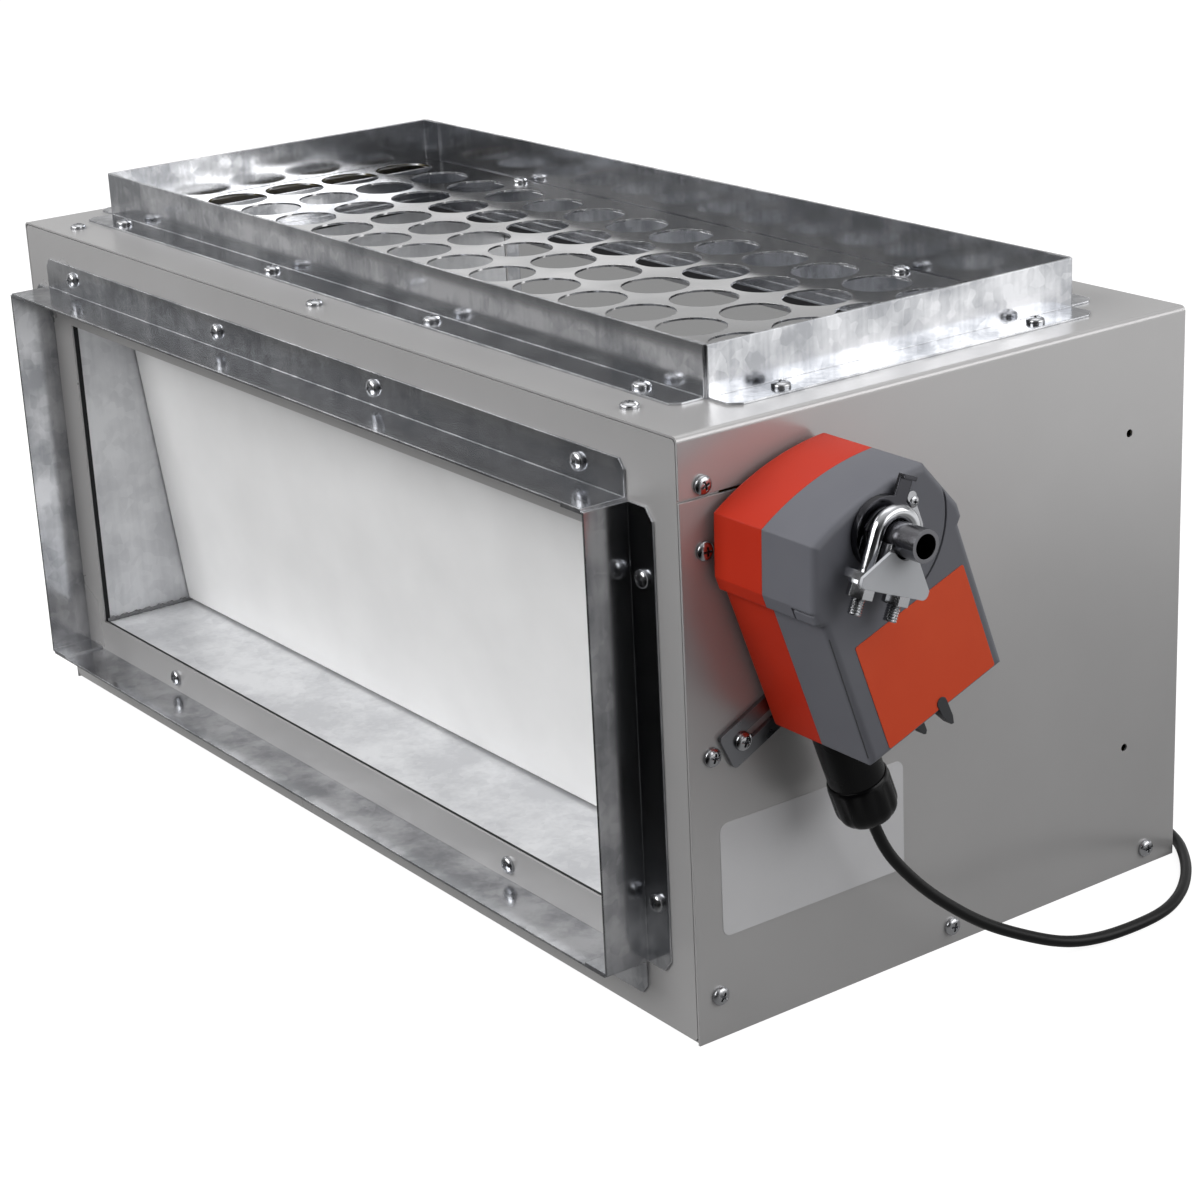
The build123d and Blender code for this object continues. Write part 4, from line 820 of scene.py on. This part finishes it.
def face_prism(outline, low_x, high_x):
    """A flat outline on the actuator's face, as thick as the two distances along X say."""
    count = len(outline)
    vertices = []
    for x in (low_x, high_x):
        for u, v in outline:
            vertices.append((LABEL_MIDDLE + ACROSS_FACE * u + UP_FACE * v + Vector((x, 0, 0))) * MM)
    return vertices, [tuple(range(count)), tuple(range(count, 2 * count))] + ring_faces(2, count)


print("actuator's turn", round(math.degrees(ACTUATOR_TURN)), "degrees")

# %% [markdown]
# The first hook is a tongue with a round top and a point that leans to one side. The second one is
# shorter and sits further in. They are only millimetres wide, so few points are enough.

# %% Hooks, and the painted shade line of the groove
HOOK_HALF, HOOK_TOP, HOOK_ROUND_STEPS = 2.4, -22.0, 6
FIRST_HOOK_FROM, FIRST_HOOK_RISE = 335.6, 0.6
SECOND_HOOK_FROM, SECOND_HOOK_TO = 331.2, 335.4
GROOVE_DEPTH, GROOVE_RISE = 0.2, 0.03
FIRST_HOOK = [(HOOK_HALF, HOOK_TOP), (2.9, -30.0), (2.2, -33.4), (0.9, -33.0), (-1.6, -28.0)]
FIRST_HOOK.append((-HOOK_HALF, HOOK_TOP))
for step in range(HOOK_ROUND_STEPS - 1, 0, -1):
    angle = step / HOOK_ROUND_STEPS * math.pi
    FIRST_HOOK.append((HOOK_HALF * math.cos(angle), HOOK_TOP + HOOK_HALF * math.sin(angle)))
SECOND_HOOK = [(-7.6, -25.5), (-7.4, -31.6), (-8.3, -32.8), (-9.4, -32.2), (-11.8, -27.6), (-11.8, -25.5)]
GROOVE_SHADE_LINE = [(-38.2, 34.0), (-37.7, 34.0), (-38.7, -21.0), (-39.2, -21.0)]

first_hook = face_prism(FIRST_HOOK, FIRST_HOOK_FROM, COVER_FRONT + FIRST_HOOK_RISE)
second_hook = face_prism(SECOND_HOOK, SECOND_HOOK_FROM, SECOND_HOOK_TO)
both_hooks = joined([first_hook, second_hook])
# The hooks have a real shape. Their dark grey finish is partly painted shade.
hooks = make_piece("cover_hooks_moulded", *both_hooks, "cabinet", "dark_grey_plastic")
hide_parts("cover_hooks")
# The groove is not cut as a recess: a thin dark strip at the cover's face is its painted shade.
groove_shade_line = face_prism(GROOVE_SHADE_LINE, COVER_FRONT - GROOVE_DEPTH, COVER_FRONT + GROOVE_RISE)
make_piece("cover_groove_shade_line", *groove_shade_line, "cabinet", "dark_grey_plastic")
print("hook faces", len(hooks.data.polygons))

# %% [markdown]
# Between the front panel and the liner runs a thin gap with foam tape squeezed into it. The dark line
# round the duct mouth is painted shade for that gap, made as three slim blocks of dark foam.

# %% Painted gap shade and foam tape round the duct mouth
GAP_SHADE_FRONT, GAP_SHADE_SIDE_BACK, GAP_SHADE_FLOOR_BACK = -134.95, -132.6, -133.8
GAP_SHADE_SIDE_WIDTH, GAP_SHADE_FLOOR_HEIGHT = 0.25, 0.2
MOUTH_TOP = 206.0


def block(low, high):
    """A plain block between two corners in millimetres."""
    corners = [(x, y, z) for x in (low[0], high[0]) for y in (low[1], high[1]) for z in (low[2], high[2])]
    faces = [(0, 1, 3, 2), (4, 6, 7, 5), (0, 4, 5, 1), (2, 3, 7, 6), (0, 2, 6, 4), (1, 5, 7, 3)]
    return [Vector(c) * MM for c in corners], faces


mouth_low, mouth_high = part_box("liner_floor")
left, right, floor_z = mouth_low.x / MM, mouth_high.x / MM, mouth_high.z / MM
left_gap_shade = block((left, GAP_SHADE_FRONT, floor_z), (left + GAP_SHADE_SIDE_WIDTH, GAP_SHADE_SIDE_BACK, MOUTH_TOP))
right_gap_shade = block((right - GAP_SHADE_SIDE_WIDTH, GAP_SHADE_FRONT, floor_z), (right, GAP_SHADE_SIDE_BACK, MOUTH_TOP))
floor_gap_shade = block((left, GAP_SHADE_FRONT, floor_z), (right, GAP_SHADE_FLOOR_BACK, floor_z + GAP_SHADE_FLOOR_HEIGHT))
tape_and_gap_shade = joined([left_gap_shade, right_gap_shade, floor_gap_shade])
# The three dark blocks are painted shade for the gap, in the dark foam finish.
make_piece("mouth_tape_shade", *tape_and_gap_shade, "cabinet", "foam")
print("tape faces", len(tape_and_gap_shade[1]))

# %% [markdown]
# ## The clamp
#
# A round bar is bent over the shaft, and its threaded legs go through a saddle. A ring is carried along
# the bar's path. The thread is a row of shallow ridges: a real helix would look the same from here and
# cost far more faces.

# %% Carry a ring along a path
CLAMP_TURN = math.radians(22)
SHAFT_AXIS = box_middle("damper_shaft") * Vector((0, 1, 1))
CLAMP_SIDE = Vector((0, math.cos(CLAMP_TURN), -math.sin(CLAMP_TURN)))
CLAMP_UP = Vector((0, math.sin(CLAMP_TURN), math.cos(CLAMP_TURN)))


def clamp_point(across, up, out):
    """A point in the clamp's own axes, in metres."""
    return (SHAFT_AXIS + CLAMP_SIDE * across + CLAMP_UP * up + Vector((out, 0, 0))) * MM


def swept(path, radii, sides=20):
    """A round bar through points in metres, with its own radius in millimetres at each point."""
    vertices = []
    side = (path[1] - path[0]).normalized().orthogonal().normalized()
    for i, point in enumerate(path):
        ahead = (path[min(i + 1, len(path) - 1)] - path[max(i - 1, 0)]).normalized()
        side = (side - ahead * side.dot(ahead)).normalized()
        other = ahead.cross(side)
        for j in range(sides):
            angle = 2 * math.pi * j / sides
            vertices.append(point + (side * math.cos(angle) + other * math.sin(angle)) * radii[i] * MM)
    faces = ring_faces(len(path), sides)
    faces.append(tuple(range(sides)))
    faces.append(tuple((len(path) - 1) * sides + j for j in reversed(range(sides))))
    return vertices, faces


print("clamp's turn", round(math.degrees(CLAMP_TURN)), "degrees")

# %% [markdown]
# The bar climbs one leg ridge by ridge, turns over the shaft and comes down the other leg in the same way.

# %% U bolt
U_BOLT_OUT = box_middle("clamp_u_bolt").x
U_BOLT_HALF = 9.2
U_BOLT_ROD = 2.8
U_BOLT_LEG = 31.0
BEND_STEPS = 28
THREAD_FROM = 17.0
THREAD_PITCH = 1.0
THREAD_DEPTH = 0.4


def u_bolt():
    """The bent bar with a threaded length at the end of each leg."""
    ridges = 2 * round((U_BOLT_LEG - THREAD_FROM) / THREAD_PITCH)
    heights = [-U_BOLT_LEG + (U_BOLT_LEG - THREAD_FROM) * i / ridges for i in range(ridges + 1)]
    thread = [U_BOLT_ROD - (THREAD_DEPTH if i % 2 == 0 else 0) for i in range(ridges + 1)]
    path = [clamp_point(-U_BOLT_HALF, up, U_BOLT_OUT) for up in heights]
    for i in range(BEND_STEPS + 1):
        angle = math.pi * (1 - i / BEND_STEPS)
        path.append(clamp_point(U_BOLT_HALF * math.cos(angle), U_BOLT_HALF * math.sin(angle), U_BOLT_OUT))
    path += [clamp_point(U_BOLT_HALF, up, U_BOLT_OUT) for up in reversed(heights)]
    return swept(path, thread + [U_BOLT_ROD] * (BEND_STEPS + 1) + thread[::-1])


bolt = make_piece("u_bolt_threaded", *u_bolt(), "blade", "bright_clamp")
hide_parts("clamp_u_bolt")
print("u bolt faces", len(bolt.data.polygons))

# %% [markdown]
# ## The cord gland
#
# The gland nut is a fluted cap with a rounded end that squeezes a rubber ring round the cord. It could
# be a cylinder with grooves cut in it, but a turned profile whose radius dips at each flute also lets
# the flutes run out softly on the round end.

# %% Gland nut
GLAND_LENGTH, GLAND_RADIUS, GLAND_ROUND = 21.0, 12.8, 7.5
# The foot of the nut, as (distance inside the full radius, height, share of the flutes' depth).
GLAND_FOOT = ((0.8, 0, 0), (0.3, 0.8, 0), (0.2, 2.2, 0), (0, 2.8, 1))
ROUND_STEPS = 6
FLUTES, FLUTE_DEPTH, STEPS_PER_FLUTE = 12, 0.5, 6
FLUTE_SHARPNESS = 3
MOUTH_RADIUS, MOUTH_LIP, MOUTH_DEPTH = 4.2, 1.6, 3
MOUTH_MIDDLE_RADIUS = 0.1
gland_mouth = Vector(route[0]) * MM
gland_axis = (Vector(route[1]) - Vector(route[0])).normalized()


def gland_profile():
    """The nut's profile from the adapter to the cord, as (radius, height, share of the flutes' depth)."""
    straight = GLAND_LENGTH - GLAND_ROUND
    lip = MOUTH_RADIUS + MOUTH_LIP
    rings = [(MOUTH_RADIUS, 0, 0)]
    rings += [(GLAND_RADIUS - inside, height, share) for inside, height, share in GLAND_FOOT]
    rings.append((GLAND_RADIUS, straight, 1))
    for i in range(1, ROUND_STEPS + 1):
        angle = math.radians(90 * i / ROUND_STEPS)
        radius = lip + (GLAND_RADIUS - lip) * math.cos(angle)
        rings.append((radius, straight + GLAND_ROUND * math.sin(angle), 1 - i / ROUND_STEPS))
    sunk = GLAND_LENGTH - MOUTH_DEPTH
    return rings + [(MOUTH_RADIUS, GLAND_LENGTH, 0), (MOUTH_RADIUS, sunk, 0), (MOUTH_MIDDLE_RADIUS, sunk, 0)]


def gland_nut():
    """The profile turned round the cord's axis, with a dip at each flute."""
    at = axes_at(gland_mouth - gland_axis * GLAND_LENGTH * MM, (1, 0, 0), gland_axis)
    rings = gland_profile()
    steps = FLUTES * STEPS_PER_FLUTE
    vertices = []
    for radius, height, share in rings:
        for i in range(steps):
            angle = 2 * math.pi * i / steps
            dip = FLUTE_DEPTH * share * (0.5 - 0.5 * math.cos(angle * FLUTES)) ** FLUTE_SHARPNESS
            local = Vector(((radius - dip) * math.cos(angle), (radius - dip) * math.sin(angle), height))
            vertices.append(at @ (local * MM))
    return vertices, ring_faces(len(rings), steps)


nut = make_piece("gland_nut_fluted", *gland_nut(), "cabinet", "black_nylon")
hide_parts("gland_nut")
print("gland faces", len(nut.data.polygons))

# %% [markdown]
# ## A grey bead in the corner
#
# Where the liner's left wall meets the duct floor lies a bead of grey, darker than the liner. It is a
# thin tube whose width wanders: two waves of different lengths stand in for the hand.

# %% Grey corner bead
BEAD_RADIUS = 1.3
BEAD_STEPS, BEAD_SIDES = 60, 10
BEAD_FROM, BEAD_TO = -134.0, -66.0
BEAD_INSET = 0.5
# Each wave of the bead, as (height, radians in a millimetre, start).
BEAD_WAVES = ((0.35, 0.9, 0), (0.3, 2.3, 1))
WANDER_UP, WANDER_WIDE = 0.2, 0.8


def grey_corner_bead():
    """A thin tube in the corner of the duct, from its mouth inwards."""
    path, radii = [], []
    for i in range(BEAD_STEPS + 1):
        y = BEAD_FROM + (BEAD_TO - BEAD_FROM) * i / BEAD_STEPS
        wander = sum(height * math.sin(y * rate + start) for height, rate, start in BEAD_WAVES)
        path.append(Vector((left + BEAD_INSET, y, floor_z + BEAD_INSET + WANDER_UP * wander)) * MM)
        radii.append(BEAD_RADIUS + WANDER_WIDE * wander)
    return swept(path, radii, BEAD_SIDES)


# The bead is a darker grey than the liner, laid in the corner where the wall meets the floor.
bead = make_piece("grey_corner_bead", *grey_corner_bead(), "cabinet", "sealant", "dark_zinc")
print("bead faces", len(bead.data.polygons))

# %% [markdown]
# ## Floor, backdrop and light
#
# The box stands in a white studio. Bright metal shows what stands around it, so the studio also has
# what a photographer sets up for metal: a dark floor in front, which gives the collars their dark
# bands, a bright floor behind on the right, and a white sweep behind that ends a little above the box.

# %% Levels for the studio


def grey_steps(tree, factor, stops):
    """A level that follows the factor through stops of (position, level)."""
    node = add_node(tree, "ShaderNodeValToRGB", {"Fac": factor})
    steps = node.color_ramp.elements
    steps.remove(steps[1])
    for i, (position, level) in enumerate(stops):
        step = steps[0] if i == 0 else steps.new(position)
        step.position = position
        step.color = (level, level, level, 1.0)
    return node.outputs["Color"]


def along(tree, where, direction):
    """How far a place or a direction reaches along another direction."""
    inputs = {0: where, 1: direction}
    return add_node(tree, "ShaderNodeVectorMath", inputs, operation="DOT_PRODUCT").outputs["Value"]


print("view transform", scene.view_settings.view_transform)

# %% [markdown]
# The floor that metal mirrors is dark in front and a little lighter at its left end, and behind the box
# it brightens towards the right. The floor that the camera sees is white, with one soft patch of painted
# shade behind the box: it shows only through the holes of the perforated plate, and makes them look grey.

# %% What the floor shows
NEAR_FRONT, FAR_FRONT = -0.12, -0.24
LEFT_END, RIGHT_END = -1.6, 0.4
FRONT_LEVELS = ((0.0, 0.45), (0.3, 0.13), (0.65, 0.09), (1.0, 0.0))
BRIGHT_CORNER = (0.75, 0.65, 0.0)
BRIGHT_FROM, BRIGHT_TO = 0.6, 1.05
BACK_LEVEL, BRIGHT_LEVEL = 0.3, 1.1
POOL_MIDDLE, POOL_REACH = (-0.755, 0.57), (0.34, 0.165)
POOL_EDGE_FROM = 0.8


def mirrored_floor(tree, where):
    """What bright metal sees of the floor: dark in front, bright behind on the right."""
    across = between(tree, along(tree, where, (1, 0, 0)), 0, 1, LEFT_END, RIGHT_END)
    front = grey_steps(tree, across, FRONT_LEVELS)
    towards = along(tree, where, BRIGHT_CORNER)
    corner = between(tree, towards, BACK_LEVEL, BRIGHT_LEVEL, BRIGHT_FROM, BRIGHT_TO)
    behind = between(tree, along(tree, where, (0, 1, 0)), 0, 1, FAR_FRONT, NEAR_FRONT)
    back_part = calculate(tree, "MULTIPLY", corner, behind)
    front_part = calculate(tree, "MULTIPLY", front, calculate(tree, "SUBTRACT", 1.0, behind))
    return calculate(tree, "ADD", back_part, front_part)


def painted_shade_pool(tree, where):
    """A soft patch of painted shade on the floor, to be seen through the plate's holes."""
    edges = []
    for i, axis in enumerate(((1, 0, 0), (0, 1, 0))):
        offset = calculate(tree, "SUBTRACT", along(tree, where, axis), POOL_MIDDLE[i])
        distance = calculate(tree, "DIVIDE", calculate(tree, "ABSOLUTE", offset, 0.0), POOL_REACH[i])
        edges.append(between(tree, distance, 1, 0, POOL_EDGE_FROM, 1.0))
    return calculate(tree, "MULTIPLY", edges[0], edges[1])


print("levels in front", len(FRONT_LEVELS))

# %% [markdown]
# The floor itself is one sheet of diffuse grey, which keeps the soft shadow of the box. A glow that only
# the camera sees lifts it to white, and glossy surfaces get the mirrored floor instead. More lamps would
# whiten it too, but they would wash out the box as well.

# %% Studio floor
FLOOR_SIZE = 9.0
FLOOR_GLOW = 0.9
WHITE = (1, 1, 1, 1)


def studio_floor():
    """The floor under the box, which is part of the studio and not of the object."""
    material, tree = new_material("studio_floor")
    where = add_node(tree, "ShaderNodeTexCoord").outputs["Object"]
    rays = add_node(tree, "ShaderNodeLightPath")
    # The camera's glow is lowered where the pool lies: painted shade, seen through the plate's holes.
    dimmed = calculate(tree, "MULTIPLY", painted_shade_pool(tree, where), FLOOR_GLOW)
    lit = calculate(tree, "SUBTRACT", FLOOR_GLOW, dimmed)
    strength = calculate(tree, "MULTIPLY", rays.outputs["Is Camera Ray"], lit)
    glow = add_node(tree, "ShaderNodeEmission", {"Color": WHITE, "Strength": strength}).outputs["Emission"]
    paint = add_node(tree, "ShaderNodeBsdfDiffuse", {"Color": linear("#8c8c8c")}).outputs["BSDF"]
    seen = add_node(tree, "ShaderNodeAddShader", {0: glow, 1: paint}).outputs["Shader"]
    inputs = {"Color": WHITE, "Strength": mirrored_floor(tree, where)}
    mirrored = add_node(tree, "ShaderNodeEmission", inputs).outputs["Emission"]
    both = add_node(tree, "ShaderNodeMixShader", {0: rays.outputs["Is Glossy Ray"], 1: seen, 2: mirrored})
    add_node(tree, "ShaderNodeOutputMaterial", {"Surface": both.outputs["Shader"]})
    half = FLOOR_SIZE / 2
    corners = [(-half, -half, 0), (half, -half, 0), (half, half, 0), (-half, half, 0)]
    sheet = dress(mesh_object("floor", corners, [(0, 1, 2, 3)]), material)
    return sheet


floor = studio_floor()
print("floor", floor.name)

# %% [markdown]
# The world is the room round the box. Its level depends on two things: how far a ray points to the
# bright side, and how high it points. The camera sees plain white instead.

# %% The room
BRIGHT_SIDE = (-0.2, 0.75, 0.63)
SIDE_FROM, SIDE_TO = -0.4, 0.7
ROOM_DARK, ROOM_BRIGHT = 0.05, 1.2
# The sweep, as (height of the ray, level): bright up to 0.234, then the dark gap above its top edge.
SWEEP_HEIGHTS = ((0.0, 0.9), (0.17, 0.5), (0.2, 0.55), (0.215, 0.75), (0.234, 0.8))
ABOVE_HEIGHTS = ((0.252, 0.12), (0.28, 0.12), (0.38, 0.3), (0.6, 0.45), (0.9, 0.8))


def studio_world():
    """The room's light, by direction."""
    room = bpy.data.worlds.new("studio")
    scene.world = room
    room.use_nodes = True
    tree = room.node_tree
    tree.nodes.clear()
    where = add_node(tree, "ShaderNodeTexCoord").outputs["Generated"]
    side = between(tree, along(tree, where, BRIGHT_SIDE), ROOM_DARK, ROOM_BRIGHT, SIDE_FROM, SIDE_TO)
    height = grey_steps(tree, along(tree, where, (0, 0, 1)), SWEEP_HEIGHTS + ABOVE_HEIGHTS)
    level = calculate(tree, "MULTIPLY", side, height)
    rays = add_node(tree, "ShaderNodeLightPath")
    level = calculate(tree, "MAXIMUM", level, rays.outputs["Is Camera Ray"])
    sky = add_node(tree, "ShaderNodeBackground", {"Color": WHITE, "Strength": level})
    add_node(tree, "ShaderNodeOutputWorld", {"Surface": sky.outputs["Background"]})
    return room


world = studio_world()
print("world", world.name)

# %% [markdown]
# Four lamps light the box. The key softbox stands in front and gives the white blade its even tone. The
# others shape the metal: a weak one on the left for the liner, one above for the top deck, and a wide
# panel behind on the right that runs along the collars.

# %% The lamps


def softbox(name, at, aim, size, watts):
    """A rectangular lamp at a place in metres, aimed at another place."""
    data = bpy.data.lights.new(name, "AREA")
    data.shape = "RECTANGLE"
    data.size, data.size_y = size
    data.energy = watts
    lamp = bpy.data.objects.new(name, data)
    scene.collection.objects.link(lamp)
    away = Vector(at) - Vector(aim)
    lamp.matrix_world = Matrix.Translation(at) @ away.to_track_quat("Z", "Y").to_matrix().to_4x4()


softbox("key_softbox", at=(-0.4, -2.2, 1.6), aim=(0, 0, 0.1), size=(2.4, 1.4), watts=60)
softbox("left_softbox", at=(-2.16, -0.78, 1.5), aim=(0, -0.13, 0.2), size=(0.9, 0.9), watts=5)
softbox("top_softbox", at=(-0.2, 0.3, 2.3), aim=(0, 0, 0.1), size=(2.0, 1.4), watts=8)
softbox("back_right_panel", at=(2.3, 1.2, 1.25), aim=(0.2, 0, 0.15), size=(2.6, 1.5), watts=29)
